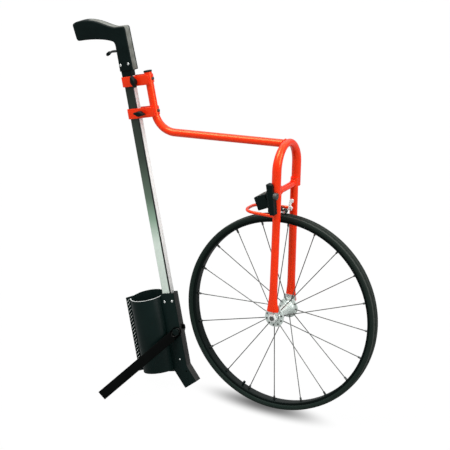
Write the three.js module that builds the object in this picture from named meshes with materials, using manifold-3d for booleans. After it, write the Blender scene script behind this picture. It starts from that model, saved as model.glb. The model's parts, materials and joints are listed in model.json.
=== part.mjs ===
// Measuring wheel on a tubular fork, carried by a marking staff with a pistol grip.
// Millimetres, +Z up. The axle lies along Y, the staff stands behind the wheel towards -X
// and the side leg stands out towards -Y. The origin is on the ground, under the middle
// of the whole object's outline.
import * as THREE from 'three';
import { mergeVertices } from 'three/addons/utils/BufferGeometryUtils.js';
import Module from 'manifold-3d';

const wasm = await Module();
wasm.setup();

// Clearances shared by every piece
const fit = 0.3;            // between two pieces that sit in or on each other
const slack = 0.7;          // play of the pull rod in the linkage
const headroom = 1.4;       // under the pull rod's upper head, for the trigger's tilt
const overrun = 4;          // how far a cutting tool runs past the wall it cuts
const DEG = Math.PI / 180;

// Wheel
const wheelRadius = 199;    // a circumference of 1.25 m
const tyreWidth = 25;
const tyreDepth = 11;
const treadWidth = 11;
const treadGroove = 1.2;
const rimHeight = 5;
const rimInnerRadius = wheelRadius - tyreDepth - rimHeight;
const rimWidth = 20;
const rimBase = 2;
const rimWall = 1.6;
const spokeCount = 20;
const spokeRadius = 1;
const spokeHeadRadius = 1.9;
const spokeHeadLength = 1.2;
const spokeOffset = 1.5;    // stagger of the nipples from the rim's middle
const spokePhase = -37.1;   // degrees, first spoke from +X
const nippleRadius = 1.9;
const nippleLength = 9;
const nippleHeadRadius = 2.8;
const nippleHeadLength = 1.5;
const valveShare = 15.75;    // place of the valve, counted in spokes
const valveRadius = 2.6;
const valveLength = 9;

// Hub and axle
const flangeRadius = 20;
const flangeThickness = 3;
const spokeCircle = 16;
const barrelRadius = 10;
const collarRadius = 12.5;
const hubLength = 72;
const hubShoulder = 3;
const flangeGap = hubLength - 2 * hubShoulder; // between the middles of the two flanges
const bearingRadius = 9;
const bearingWidth = 6;
const axleRadius = 5;
const axleEnd = 10.5;       // past the hub, on each side
const axleLength = hubLength + 2 * axleEnd;
const nutRadius = 8.5;
const nutThickness = 6;

// Fork
const forkLean = 1.5;       // degrees, top towards the staff
const hoopRise = 139;
const hoopTop = wheelRadius + hoopRise;
const hoopRadius = 9;
const hoopOverlap = 18;     // the hoop's legs run down beside the blades
const bladeRadius = 7.7;
const bladeRise = 65;
const bladeTop = wheelRadius + bladeRise;
const bladeEnd = 13;
const hoopLegEnd = bladeTop - hoopOverlap;
const bladeFootWidth = 25;
const bladeFootThickness = 7;
const bladeFootSpread = hubLength / 2 + bladeFootThickness;
const bladeNarrowing = 4;
const bladeTopSpread = bladeFootSpread - bladeNarrowing;
const hoopStep = 7.3;
const hoopHalfWidth = bladeTopSpread + hoopStep;
const bladeFlareLength = 52;
const crossbarRadius = 6;
const crossbarDrop = 12;
const crossbarHeight = bladeTop - crossbarDrop;
const dropoutThickness = 2.5;
const dropoutWidth = 20;
const dropoutRise = 26;
const dropoutTopWidth = bladeFootWidth; // it hides the blade's foot from inside

// Arm from the fork to the staff
const armRadius = 7.8;
const armFall = 3.7;        // degrees, from the fork down to the bend
const armBend = 44;
const armSpacing = 43.5;    // staff middle to arm middle
const armRise = 22;         // above the tyre's diameter, along the staff
const armTop = 2 * wheelRadius + armRise;
const armGap = 7.5;
const armCapRadius = 8.4;
const armCapThickness = 3;
const armCapStem = 9;
const armCapStemRadius = 5.5;
const strapBoltRadius = 4;
const strapBoltHead = 3;

// Staff, measured along its own length from the base point
const staffTilt = 14.1;     // degrees, top away from the wheel
const staffClearance = 55.7;
const staffBaseX = -wheelRadius - staffClearance; // from the axle
const staffDepth = 20;
const staffWall = 1.5;
const staffEnd = -60;
const cornerRound = 2.5;

// Strap clamps round the staff
const strapThickness = 3;
const strapHeight = 20;
const strapDrop = 14;
const strapPitch = 64;
const strapCentres = [armTop - strapDrop - strapPitch, armTop - strapDrop];
const strapReach = 4.5;     // past the middle of the arm
const knobPlace = 18.5;     // in front of the staff's middle
const knobLength = 24;
const knobWaist = 10;
const knobDepth = 11;
const knobNeck = 3;
const knobNeckRadius = 5;
const knobBoltRadius = 3;
const strapNutRadius = 6;
const strapNutThickness = 5;
const knobTurns = [12, 78]; // degrees, how each knob happens to stand

// Pistol grip
const gripThickness = 24;
const gripBack = -12;
const gripFront = 17.8;
const gripReach = 87.5;     // from the housing's back to the butt
const gripRise = 22;        // butt above the shoulder
const buttHeight = 38;
const gripRound = 3;
const gripFloor = 5;
const gripCorner = 6;

// Trigger, pull rod and nozzle lever
const gripBelow = 39.5;
const gripAbove = 48;
const gripBottom = armTop + armGap;
const triggerHeight = gripBottom + gripBelow;
const gripShoulder = triggerHeight + gripAbove;
const staffTop = gripShoulder - 2 * gripFloor;
const triggerPivot = 3.6;     // in front of the staff's middle
const triggerTip = -40.5;
const triggerThickness = 4.6;
const triggerWidth = 6;
const triggerHubRadius = 4.4;
const triggerDrop = 6.5;
const triggerPadLength = 12;
const triggerPadRadius = 3.6;
const triggerTravel = 10;   // degrees
const pinRadius = 2;
const rodPlace = -4;
const rodRadius = 1.5;
const rodHeadRadius = 3.2;
const rodHeadLength = 2;

// Bottom bracket with its foot
const bracketTop = -25;
const bracketBack = -14;
const bracketDepth = 30.5;
const bracketWall = 1.5;
const bracketBend = -183.5;
const footAngle = 25;       // degrees, forward from the staff
const footLength = 44;

// Can holder and nozzle lever
const holderRadius = 35.5;
const holderWall = 1.5;
const holderTop = -26;
const holderLength = 158;
const slitNear = 24;        // degrees from the rear to the near wall's edge
const slitFar = 6;
const lipLength = 13;
const lipFlare = 38;        // degrees
const nozzleHole = 12;
const leverDrop = 3;        // lever's top below the holder's floor
const leverThickness = 2;
const leverWidth = 7;
const leverPivot = 14;
const leverHubRadius = 3;
const leverRoom = 1;        // beside the lever, in the floor's slot
const leverPadRadius = 6;
const leverPadHeight = 4;

// Side leg
const legPivot = [10, -104]; // in front of the staff's middle, along the staff
const legWidth = 19.5;
const legThickness = 4;
const legDrop = 51;         // degrees below the horizon, seen along the axle
const legSplay = 47.5;      // degrees out of the wheel's plane
const legTab = 12;
const legBoltRadius = 4;
const legBoltHead = 7.5;
const legBoltHeadHeight = 4;
const legNutHeight = 5.5;

// Wire guard, laid just over the tyre
const guardRadius = 3;
const guardHeight = wheelRadius + guardRadius;
const guardReach = 75;
const guardNarrowing = 8;
const guardRearHalfWidth = bladeTopSpread - guardNarrowing;
const guardBend = 26;

// Counter and its drive, standing over the guard
const caseTilt = 9.8;       // degrees, top towards the staff
const caseThickness = 10.4;
const caseDepth = 26;
const caseHeight = 42;
const caseBottom = guardHeight + 2 * guardRadius;
const caseInset = 1;
const caseNearFace = -bladeTopSpread + caseInset;
const caseRound = 3;
const boxOutset = 25;
const boxNearFace = -bladeTopSpread - boxOutset; // the outer box, on the near blade's outer side
const boxDepth = 16.8;
const boxRear = -4.3;
const boxThickness = 9.3;
const boxBottom = caseBottom + guardRadius;
const boxHeight = 59.5;
const boxFrontTilt = 6.2;   // degrees
const bossRadius = 8;
const bossInset = 7.5;
const bossPlace = boxNearFace + bossInset;
const bossRise = 37;
const bossHeight = boxBottom + bossRise;
const bossReach = 8;
const bridgeBottom = boxBottom + guardRadius;
const bridgeHeight = 22;
const noseReach = 5;
const noseDrop = 1;
const noseBottom = caseBottom - noseDrop;
const noseHeight = 9;
const noseFront = -2;
const rollerRadius = 5;
const rollerWidth = 9;
const rollerPlace = -1;
const rollerShaftRadius = 2;
const counterSide = 24;
const counterDeep = 3;       // the housing's floor below its square
const counterLength = 50;
const counterTilt = 23.3;
const counterInset = 2;
const counterNearFace = caseNearFace + counterInset;
const counterRise = 18.5;
const counterMiddle = [-35.5, caseBottom + counterRise];
const counterRound = 2;
const drumRadius = 9;
const drumWidth = 10;
const drumCount = 3;
const drumEdge = 0.6;
const windowWidth = 9;
const resetRadius = 6;
const resetLength = 7;
const resetShaftRadius = 2;
const stayThickness = 1.8;
const stayWidth = 9;
const stayHeight = 23;
const stayBottom = wheelRadius;
const stayTop = stayBottom + stayHeight;

// Number of facets
const tyreSteps = 64;
const tubeSides = 12;
const thinSides = 6;
const holeSides = 12;
const bendSteps = 7;

// Colours
const rubber = [0x1b211f, 0.85, 0];
const darkSteel = [0x232b29, 0.5, 0.4];
const zinc = [0xd3d8d4, 0.32, 0.9];
const spokeSteel = [0x8b9190, 0.35, 0.9];
const redPaint = [0xff2d0a, 0.35, 0];
const blackPlastic = [0x141a19, 0.45, 0];
const blackSteel = [0x1d2624, 0.4, 0.3];
const aluminium = [0xb9c2bd, 0.3, 0.9];
const white = [0xe8e8e2, 0.5, 0];

// A closed mesh with shared vertices as a solid that can be cut and joined
function solid(geometry) {
  const bare = geometry.clone();
  bare.deleteAttribute('normal');
  bare.deleteAttribute('uv');
  const merged = mergeVertices(bare.index ? bare.toNonIndexed() : bare, 1e-4);
  const made = new wasm.Manifold(new wasm.Mesh({
    numProp: 3,
    vertProperties: new Float32Array(merged.attributes.position.array),
    triVerts: new Uint32Array(merged.index.array),
  }));
  return made;
}

// A solid back as a geometry
function geometryOf(made) {
  const mesh = made.getMesh();
  const geometry = new THREE.BufferGeometry();
  geometry.setAttribute('position', new THREE.BufferAttribute(new Float32Array(mesh.vertProperties), 3));
  geometry.setIndex(Array.from(mesh.triVerts));
  return geometry;
}

const cut = (body, ...tools) => geometryOf(tools.reduce((made, tool) => made.subtract(solid(tool)), solid(body)));
const join = (body, ...more) => geometryOf(more.reduce((made, piece) => made.add(solid(piece)), solid(body)));
const keep = (body, tool) => geometryOf(solid(body).intersect(solid(tool)));

// Turns every face outwards where the enclosed volume comes out negative
function outward(geometry) {
  const p = geometry.attributes.position;
  const index = geometry.index.array;
  const corners = [new THREE.Vector3(), new THREE.Vector3(), new THREE.Vector3()];
  let volume = 0;
  for (let i = 0; i < index.length; i += 3) {
    corners.forEach((corner, k) => corner.fromBufferAttribute(p, index[i + k]));
    volume += corners[0].dot(corners[1].clone().cross(corners[2]));
  }
  if (volume < 0) {
    for (let i = 0; i < index.length; i += 3) {
      [index[i], index[i + 1]] = [index[i + 1], index[i]];
    }
  }
  return geometry;
}

// Revolves a closed (radius, y) outline about the Y axis
function revolve(outline, steps) {
  const points = outline.map(([r, y]) => new THREE.Vector2(r, y));
  if (outline[0][0] > 0) points.push(points[0].clone());
  const turned = new THREE.LatheGeometry(points, steps);
  turned.deleteAttribute('normal');
  turned.deleteAttribute('uv');
  return outward(mergeVertices(turned, 1e-4));
}

// A cylinder along Y between two places
function rodY(radius, y0, y1, sides = holeSides) {
  return new THREE.CylinderGeometry(radius, radius, y1 - y0, sides).translate(0, (y0 + y1) / 2, 0);
}

const rodZ = (radius, z0, z1, sides = holeSides) => rodY(radius, z0, z1, sides).rotateX(Math.PI / 2);
const rodX = (radius, x0, x1, sides = holeSides) => rodY(radius, x0, x1, sides).rotateZ(-Math.PI / 2);

function block(x0, x1, y0, y1, z0, z1) {
  return new THREE.BoxGeometry(x1 - x0, y1 - y0, z1 - z0)
    .translate((x0 + x1) / 2, (y0 + y1) / 2, (z0 + z1) / 2);
}

// Extrudes an (x, z) outline along Y, from y0 to y1, with its edges rounded if asked
function plateY(outline, y0, y1, round = 0) {
  const drawn = outline instanceof THREE.Shape;
  const shape = drawn ? outline : new THREE.Shape(outline.map(([x, z]) => new THREE.Vector2(x, z)));
  const made = new THREE.ExtrudeGeometry(shape, {
    depth: y1 - y0 - 2 * round,
    bevelEnabled: round > 0,
    bevelThickness: round,
    bevelSize: round,
    bevelOffset: -round,
    bevelSegments: 2,
    curveSegments: 5,
  });
  return made.rotateX(Math.PI / 2).translate(0, y1 - round, 0);
}

// Extrudes an (x, y) outline along Z, from z0 to z1
function plateZ(outline, z0, z1, holes = []) {
  const shape = new THREE.Shape(outline.map(([x, y]) => new THREE.Vector2(x, y)));
  shape.holes = holes.map((hole) => new THREE.Path(hole.map(([x, y]) => new THREE.Vector2(x, y))));
  return new THREE.ExtrudeGeometry(shape, { depth: z1 - z0, bevelEnabled: false }).translate(0, 0, z0);
}

// Corners of a rectangle with rounded corners, two steps to each
function roundedBox(width, height, radius, steps = 2) {
  const corners = [[1, 1], [-1, 1], [-1, -1], [1, -1]];
  return corners.flatMap(([sx, sy], k) => Array.from({ length: steps + 1 }, (_, i) => {
    const a = (k + i / steps) * Math.PI / 2;
    return [
      sx * (width / 2 - radius) + radius * Math.cos(a),
      sy * (height / 2 - radius) + radius * Math.sin(a),
    ];
  }));
}

// Outline of a strip of even thickness along an open path of (x, y) points
function ribbon(path, thickness) {
  const side = (sign) => path.map(([x, y], i) => {
    const [ax, ay] = path[Math.max(i - 1, 0)];
    const [bx, by] = path[Math.min(i + 1, path.length - 1)];
    const length = Math.hypot(bx - ax, by - ay);
    const half = sign * thickness / 2;
    return [x - half * (by - ay) / length, y + half * (bx - ax) / length];
  });
  return [...side(1), ...side(-1).reverse()];
}

// Points of a path whose inner corners are rounded to the bend radius
function rounded(corners, bend, steps = bendSteps) {
  const path = [corners[0].clone()];
  for (let i = 1; i < corners.length - 1; i += 1) {
    const back = corners[i - 1].clone().sub(corners[i]).normalize();
    const on = corners[i + 1].clone().sub(corners[i]).normalize();
    const half = back.angleTo(on) / 2;
    const centre = back.clone().add(on).normalize().multiplyScalar(bend / Math.sin(half)).add(corners[i]);
    const first = back.clone().multiplyScalar(bend / Math.tan(half)).add(corners[i]).sub(centre);
    const axis = back.clone().cross(on).normalize();
    const turn = Math.PI - 2 * half;
    for (let k = 0; k <= steps; k += 1) {
      path.push(first.clone().applyAxisAngle(axis, -turn * k / steps).add(centre));
    }
  }
  path.push(corners[corners.length - 1].clone());
  return path;
}

// Sweeps rings along a path: each station has a point and a ring of (x, y) offsets
function sweep(path, rings, up) {
  const count = rings[0].length;
  const positions = [];
  const index = [];
  let normal = up.clone();
  path.forEach((point, i) => {
    const before = path[Math.max(i - 1, 0)];
    const after = path[Math.min(i + 1, path.length - 1)];
    const along = after.clone().sub(point).normalize().add(point.clone().sub(before).normalize()).normalize();
    normal.sub(along.clone().multiplyScalar(normal.dot(along))).normalize();
    const side = along.clone().cross(normal);
    rings[i].forEach(([x, y]) => {
      const place = point.clone().addScaledVector(normal, x).addScaledVector(side, y);
      positions.push(place.x, place.y, place.z);
    });
    normal = normal.clone();
  });
  for (let i = 0; i < path.length - 1; i += 1) {
    for (let k = 0; k < count; k += 1) {
      const a = i * count + k;
      const b = i * count + (k + 1) % count;
      index.push(a, b, a + count, b, b + count, a + count);
    }
  }
  const last = (path.length - 1) * count;
  for (let k = 1; k < count - 1; k += 1) {
    index.push(0, k + 1, k, last, last + k, last + k + 1);
  }
  const made = new THREE.BufferGeometry();
  made.setAttribute('position', new THREE.BufferAttribute(new Float32Array(positions), 3));
  made.setIndex(index);
  return outward(made);
}

// One ring of an ellipse
function ring(a, b, sides) {
  return Array.from({ length: sides }, (_, k) => {
    const t = (k + 0.5) * 2 * Math.PI / sides;
    return [a * Math.cos(t), b * Math.sin(t)];
  });
}

const tube = (path, radius, sides, up) => sweep(path, path.map(() => ring(radius, radius, sides)), up);
const V = (x, y, z) => new THREE.Vector3(x, y, z);
const alongX = V(1, 0, 0);
const alongY = V(0, 1, 0);

// Tyre: grooved tread, shoulders and sidewalls, with its beads inside the rim's channel
const tyreInner = wheelRadius - tyreDepth;
const rimOuter = rimInnerRadius + rimHeight;
function tyre() {
  const half = tyreWidth / 2;
  const seat = rimWidth / 2 - rimWall - fit;
  const groove = treadWidth / 5;
  const right = [
    [rimOuter - 1 + fit, seat],
    [rimOuter + fit, seat],
    [rimOuter + fit, rimWidth / 2],
    [tyreInner + tyreDepth / 4, half],
    [tyreInner + tyreDepth * 0.6, half - 0.4],
    [wheelRadius - treadGroove, treadWidth / 2 + 2.6],
    [wheelRadius, treadWidth / 2],
    [wheelRadius, groove + treadGroove / 2],
    [wheelRadius - treadGroove, groove],
    [wheelRadius, groove - treadGroove / 2],
  ];
  const left = right.map(([r, y]) => [r, -y]).reverse();
  return revolve([...right, ...left], tyreSteps);
}

const spokeAngle = (k) => (spokePhase + k * 360 / spokeCount) * DEG;

// Rim: a channel open to the tyre, drilled for the nipples and the valve
function rim() {
  const half = rimWidth / 2;
  const base = rimInnerRadius + rimBase;
  const outline = [
    [rimInnerRadius, -half + rimBase], [rimInnerRadius + rimBase / 2, -half],
    [rimOuter, -half], [rimOuter, -half + rimWall], [base, -half + rimWall],
    [base, half - rimWall], [rimOuter, half - rimWall], [rimOuter, half],
    [rimInnerRadius + rimBase / 2, half], [rimInnerRadius, half - rimBase],
  ];
  const drill = (radius, angle, y) => rodX(radius, rimInnerRadius - overrun, base + overrun, 8)
    .translate(0, y, 0).rotateY(-angle);
  const holes = Array.from({ length: spokeCount }, (_, k) => drill(nippleRadius + 2 * fit, spokeAngle(k),
    (k % 2 ? -1 : 1) * spokeOffset));
  return cut(revolve(outline, tyreSteps), ...holes, drill(valveRadius + 2 * fit, spokeAngle(valveShare), 0));
}

const flangeMiddle = flangeGap / 2;
// Hub shell: barrel, two drilled flanges and a collar over each bearing
function hubShell() {
  const end = hubLength / 2;
  const inner = flangeMiddle - flangeThickness / 2;
  const outer = flangeMiddle + flangeThickness / 2;
  const seat = bearingRadius + fit;
  const bore = axleRadius + 2 * fit;
  const right = [
    [bore, end - bearingWidth - fit], [seat, end - bearingWidth - fit], [seat, end], [collarRadius, end],
    [collarRadius, outer], [flangeRadius, outer], [flangeRadius, inner],
    [collarRadius, inner - flangeThickness / 2], [barrelRadius, inner - flangeThickness * 2],
  ];
  const left = right.map(([r, y]) => [r, -y]).reverse();
  const holes = Array.from({ length: spokeCount }, (_, k) => {
    const side = k % 2 ? -1 : 1;
    const hole = rodY(spokeRadius + 2 * fit, inner - overrun, outer + overrun, thinSides);
    return hole.translate(spokeCircle, 0, 0).rotateY(-spokeAngle(k)).scale(1, side, 1);
  });
  const tools = holes.map((hole) => outward(solidIndex(hole)));
  return cut(revolve([...right, ...left], 30), ...tools);
}

// An indexed copy with shared vertices
function solidIndex(geometry) {
  const bare = geometry.clone();
  bare.deleteAttribute('normal');
  bare.deleteAttribute('uv');
  return mergeVertices(bare, 1e-4);
}

// Spoke k: head, elbow through the flange, straight run, nipple through the rim
function spoke(k) {
  const side = k % 2 ? -1 : 1;
  const outside = flangeMiddle + flangeThickness / 2 + fit;
  const inside = flangeMiddle - flangeThickness / 2 - spokeRadius - fit;
  const seat = rimInnerRadius + rimBase + fit;
  const end = seat + nippleHeadLength;
  const neck = end - nippleHeadLength - nippleLength;
  const corners = [V(spokeCircle, outside, 0), V(spokeCircle, inside, 0), V(neck, spokeOffset, 0)];
  const wire = rounded(corners, spokeRadius * 1.5, 2);
  const head = V(spokeCircle, outside + spokeHeadLength, 0);
  const path = [head, wire[0], ...wire, wire[wire.length - 1], V(seat, spokeOffset, 0), V(seat, spokeOffset, 0),
    V(end, spokeOffset, 0)];
  const radii = [spokeHeadRadius, spokeHeadRadius, ...wire.map(() => spokeRadius), nippleRadius, nippleRadius,
    nippleHeadRadius, nippleHeadRadius];
  const made = steppedTube(path, radii, thinSides, V(0, 0, 1));
  made.scale(1, side, 1);
  return outward(made).rotateY(-spokeAngle(k));
}

// A tube whose radius may step at a station: equal points share the direction of the run
function steppedTube(path, radii, sides, up) {
  const count = path.length;
  const distinct = (i, step) => {
    let j = i + step;
    while (j >= 0 && j < count && path[j].distanceTo(path[i]) < 1e-6) j += step;
    return j >= 0 && j < count ? path[j] : null;
  };
  const positions = [];
  path.forEach((point, i) => {
    const before = distinct(i, -1);
    const after = distinct(i, 1);
    const along = V(0, 0, 0);
    if (after) along.add(after.clone().sub(point).normalize());
    if (before) along.add(point.clone().sub(before).normalize());
    along.normalize();
    const normal = up.clone().sub(along.clone().multiplyScalar(up.dot(along))).normalize();
    const across = along.clone().cross(normal);
    ring(radii[i], radii[i], sides).forEach(([x, y]) => {
      const place = point.clone().addScaledVector(normal, x).addScaledVector(across, y);
      positions.push(place.x, place.y, place.z);
    });
  });
  const index = [];
  for (let i = 0; i < count - 1; i += 1) {
    for (let k = 0; k < sides; k += 1) {
      const a = i * sides + k;
      const b = i * sides + (k + 1) % sides;
      index.push(a, b, a + sides, b, b + sides, a + sides);
    }
  }
  const last = (count - 1) * sides;
  for (let k = 1; k < sides - 1; k += 1) index.push(0, k + 1, k, last, last + k, last + k + 1);
  const made = new THREE.BufferGeometry();
  made.setAttribute('position', new THREE.BufferAttribute(new Float32Array(positions), 3));
  made.setIndex(index);
  return outward(made);
}

// Valve: a stub through the rim with a cap
function valveStem() {
  const top = rimInnerRadius + rimBase;
  const path = [V(top, 0, 0), V(rimInnerRadius - valveLength / 2, 0, 0), V(rimInnerRadius - valveLength / 2, 0, 0),
    V(rimInnerRadius - valveLength, 0, 0)];
  const narrow = valveRadius * 0.8;
  return steppedTube(path, [narrow, narrow, valveRadius, valveRadius], 8, V(0, 0, 1))
    .rotateY(-spokeAngle(valveShare));
}

// Bearing: a ring between the axle and the hub's seat
function bearing(side) {
  const outer = hubLength / 2 - fit;
  const inner = outer - bearingWidth + fit;
  const low = side > 0 ? inner : -outer;
  const high = side > 0 ? outer : -inner;
  return revolve([[axleRadius + fit, low], [bearingRadius, low], [bearingRadius, high], [axleRadius + fit, high]], 20);
}

const dropoutInner = hubLength / 2 + 2 * fit;
const nutInner = dropoutInner + dropoutThickness + fit;
// Axle nut with its washer face
function axleNut(side) {
  const washer = nutThickness / 4;
  const nut = join(rodY(nutRadius, nutInner + washer, nutInner + nutThickness, 6),
    rodY(nutRadius * 1.12, nutInner, nutInner + washer, 16));
  const bored = cut(nut, rodY(axleRadius + fit, nutInner - overrun, nutInner + nutThickness + overrun, 16));
  return side > 0 ? bored : bored.rotateX(Math.PI);
}

// Dropout plate: a rounded tongue, widened over the blade's foot, with the axle's slot open at its lower end
function dropout(side) {
  const half = dropoutWidth / 2;
  const arc = Array.from({ length: 9 }, (_, i) => {
    const t = Math.PI + i * Math.PI / 8;
    return [half * Math.cos(t), half * Math.sin(t)];
  });
  const top = dropoutTopWidth / 2;
  const outline = [[top, dropoutRise], [-top, dropoutRise], [-top, dropoutRise / 2], ...arc, [top, dropoutRise / 2]];
  const slot = axleRadius + fit;
  const y0 = dropoutInner;
  const y1 = dropoutInner + dropoutThickness;
  const plate = cut(plateY(outline, y0, y1), rodY(slot, y0 - overrun, y1 + overrun, 16),
    block(-slot * 0.9, slot * 0.9, y0 - overrun, y1 + overrun, -half - overrun, 0));
  return side > 0 ? plate : mirrorY(plate);
}

// A mirror image across the wheel's middle plane
function mirrorY(geometry) {
  const made = solidIndex(geometry);
  made.scale(1, -1, 1);
  return outward(made);
}

// Fork blade: a round tube that flares and flattens at its lower end
function blade(side) {
  const path = [];
  const rings = [];
  const flareSteps = 5;
  const spread = (z) => bladeFootSpread + (bladeTopSpread - bladeFootSpread) * (z - bladeEnd) / (bladeTop - bladeEnd);
  path.push(V(0, side * spread(bladeTop), bladeTop));
  rings.push(ring(bladeRadius, bladeRadius, tubeSides));
  for (let i = 0; i <= flareSteps; i += 1) {
    const t = i / flareSteps;
    const ease = t * t;
    const z = bladeEnd + bladeFlareLength * (1 - t);
    const wide = bladeRadius + (bladeFootWidth / 2 - bladeRadius) * ease;
    const thin = bladeRadius + (bladeFootThickness / 2 - bladeRadius) * t;
    path.push(V(0, side * spread(z), z));
    rings.push(ring(wide, thin, tubeSides));
  }
  const seat = dropoutTopWidth / 2 + fit;
  const floor = dropoutInner + dropoutThickness + 0.05;
  const flat = block(-seat, seat, 0, floor, 0, dropoutRise + fit);
  return cut(sweep(path, rings, alongX), side > 0 ? flat : mirrorY(flat));
}

// A round bar in a blade's place, for cutting what sits against it
function bladeTool(side) {
  const top = V(0, side * bladeTopSpread, bladeTop + fit);
  const foot = V(0, side * bladeFootSpread, bladeEnd);
  return tube([top, foot], (bladeRadius + fit) / Math.cos(Math.PI / tubeSides), tubeSides, alongX);
}

// Hoop: an inverted U over the blades, coped where the blades lie against its legs
const hoopPath = rounded([V(0, -hoopHalfWidth, hoopLegEnd), V(0, -hoopHalfWidth, hoopTop), V(0, hoopHalfWidth, hoopTop),
  V(0, hoopHalfWidth, hoopLegEnd)], hoopHalfWidth * 0.98, bendSteps + 1);
function hoop() {
  return cut(tube(hoopPath, hoopRadius, tubeSides, alongX), bladeTool(-1), bladeTool(1));
}

function crossbar() {
  const reach = bladeTopSpread;
  return cut(rodY(crossbarRadius, -reach, reach, tubeSides).translate(0, 0, crossbarHeight),
    bladeTool(-1), bladeTool(1));
}

// Wire guard: a U of round bar behind the fork, its ends against the blades
function guard() {
  const front = bladeTopSpread;
  const corners = [V(0, -front, guardHeight), V(-guardReach * 0.45, -guardRearHalfWidth - 3, guardHeight),
    V(-guardReach, -guardRearHalfWidth, guardHeight), V(-guardReach, guardRearHalfWidth, guardHeight),
    V(-guardReach * 0.45, guardRearHalfWidth + 3, guardHeight), V(0, front, guardHeight)];
  const middle = rounded(corners.slice(1, 5), guardBend, bendSteps - 1);
  return cut(tube([corners[0], ...middle, corners[5]], guardRadius, 8, V(0, 0, 1)), bladeTool(-1), bladeTool(1));
}

// Gear case: a slab behind the near blade, a bridge round it and a box on its outer side with a round boss
const caseTop = caseBottom + caseHeight;
const caseShift = (z) => -(bladeRadius + fit) - (z - caseBottom) * Math.tan(caseTilt * DEG);
const rollerHeight = Math.sqrt((wheelRadius + rollerRadius + fit) ** 2 - rollerPlace ** 2);
const caseFar = caseNearFace + caseDepth;
function gearCase() {
  const rear = (z) => caseShift(z) - caseThickness / Math.cos(caseTilt * DEG);
  const outline = [[caseShift(caseBottom), caseBottom], [caseShift(caseTop - caseRound), caseTop - caseRound],
    [caseShift(caseTop) - caseRound, caseTop], [rear(caseTop) + caseRound, caseTop],
    [rear(caseTop - caseRound), caseTop - caseRound], [rear(caseBottom), caseBottom]];
  const slab = plateY(outline, caseNearFace, caseFar, 1);
  const boxTop = boxBottom + boxHeight;
  const boxBack = (z) => boxRear - (z - boxBottom) * Math.tan(caseTilt * DEG);
  const boxFront = (z) => boxRear + boxThickness - (z - boxBottom) * Math.tan(boxFrontTilt * DEG);
  const box = plateY([[boxFront(boxBottom), boxBottom], [boxFront(boxTop), boxTop], [boxBack(boxTop), boxTop],
    [boxBack(boxBottom), boxBottom]], boxNearFace, boxNearFace + boxDepth, 1);
  const boss = rodX(bossRadius, boxBack(bossHeight) + 2, bossReach, 16).translate(0, bossPlace, bossHeight);
  const bridgeTop = bridgeBottom + bridgeHeight;
  const bridge = block(rear(bridgeBottom) + 2, boxBack(bridgeTop) + 3, boxNearFace + 3, caseNearFace + 3,
    bridgeBottom, bridgeTop);
  const nose = block(rear(noseBottom) + 2, noseFront, caseFar - noseReach, caseFar + noseReach, noseBottom,
    noseBottom + noseHeight);
  const leg = tube(hoopPath, hoopRadius + fit, tubeSides, alongX);
  return largest(cut(join(slab, box, boss, bridge, nose), bladeTool(-1), leg));
}

// The biggest piece of a solid that a cut has parted
function largest(geometry) {
  const parts = solid(geometry).decompose();
  parts.sort((a, b) => b.volume() - a.volume());
  return geometryOf(parts[0]);
}

// Stay: a zinc strip on the far blade's inner side that carries the roller's far end
const stayFace = bladeTopSpread - bladeRadius - 1.2;
function stay() {
  const strip = block(rollerPlace - stayWidth / 2, rollerPlace + stayWidth / 2, stayFace - stayThickness - fit,
    stayFace - fit, stayBottom, stayTop);
  return cut(strip, rodY(rollerShaftRadius + fit, stayFace - 3 * overrun, stayFace + overrun)
    .translate(rollerPlace, 0, rollerHeight));
}

// Drive roller: a rubber roller between two metal ends on a shaft that the stay carries
function roller() {
  const half = rollerWidth / 2;
  const end = rollerShaftRadius * 1.8;
  const body = revolve([[0, -half - rollerShaftRadius], [end, -half - rollerShaftRadius], [end, -half],
    [rollerRadius, -half], [rollerRadius, half], [end, half], [end, half + rollerShaftRadius],
    [rollerShaftRadius, half + rollerShaftRadius], [rollerShaftRadius, stayFace], [0, stayFace]], 16);
  return body.translate(rollerPlace, 0, rollerHeight);
}

// Places a counter piece: its own middle, tilted towards the reader behind the wheel
const inCounter = (geometry) => geometry.rotateY(-counterTilt * DEG).translate(counterMiddle[0], 0, counterMiddle[1]);
const drumStart = counterNearFace + 6;
const drumPitch = drumWidth + fit;
const drumEnd = drumStart + drumCount * drumPitch;
function counterHousing() {
  const half = counterSide / 2;
  const far = counterNearFace + counterLength;
  const body = plateY(roundedBox(counterSide, counterSide + counterDeep, counterRound, 1), counterNearFace, far, 1)
    .translate(0, 0, -counterDeep / 2);
  const cavity = rodY(drumRadius + 2 * fit, drumStart - fit, drumEnd, 20);
  const window = block(-windowWidth / 2, windowWidth / 2, drumStart - fit, drumEnd, 0, half + overrun);
  const shaft = rodY(resetShaftRadius + fit, far - overrun, far + overrun);
  const shelf = block(counterMiddle[0], caseShift(caseBottom), counterNearFace, counterNearFace + caseDepth - 6,
    counterMiddle[1] - 4, counterMiddle[1] + 4);
  const wide = block(caseShift(counterMiddle[1]) - caseThickness / Math.cos(caseTilt * DEG) - fit, overrun * 5,
    -counterLength * 2, counterLength * 2, 0, hoopTop);
  const lean = new THREE.Matrix4().makeTranslation(caseShift(counterMiddle[1]) - caseThickness
    / Math.cos(caseTilt * DEG) - fit, 0, counterMiddle[1]);
  wide.applyMatrix4(lean.clone().invert());
  wide.rotateY(-caseTilt * DEG);
  wide.applyMatrix4(lean);
  return cut(join(inCounter(body), shelf), wide, ...[cavity, window, shaft].map(inCounter));
}

// Number drum, counted from the fast one at the reader's right hand, with its edges taken off
function drum(place) {
  const start = drumStart + place * drumPitch;
  const end = start + drumWidth;
  return inCounter(revolve([[0, start], [drumRadius - drumEdge, start], [drumRadius, start + drumEdge],
    [drumRadius, end - drumEdge], [drumRadius - drumEdge, end], [0, end]], 20));
}

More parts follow.
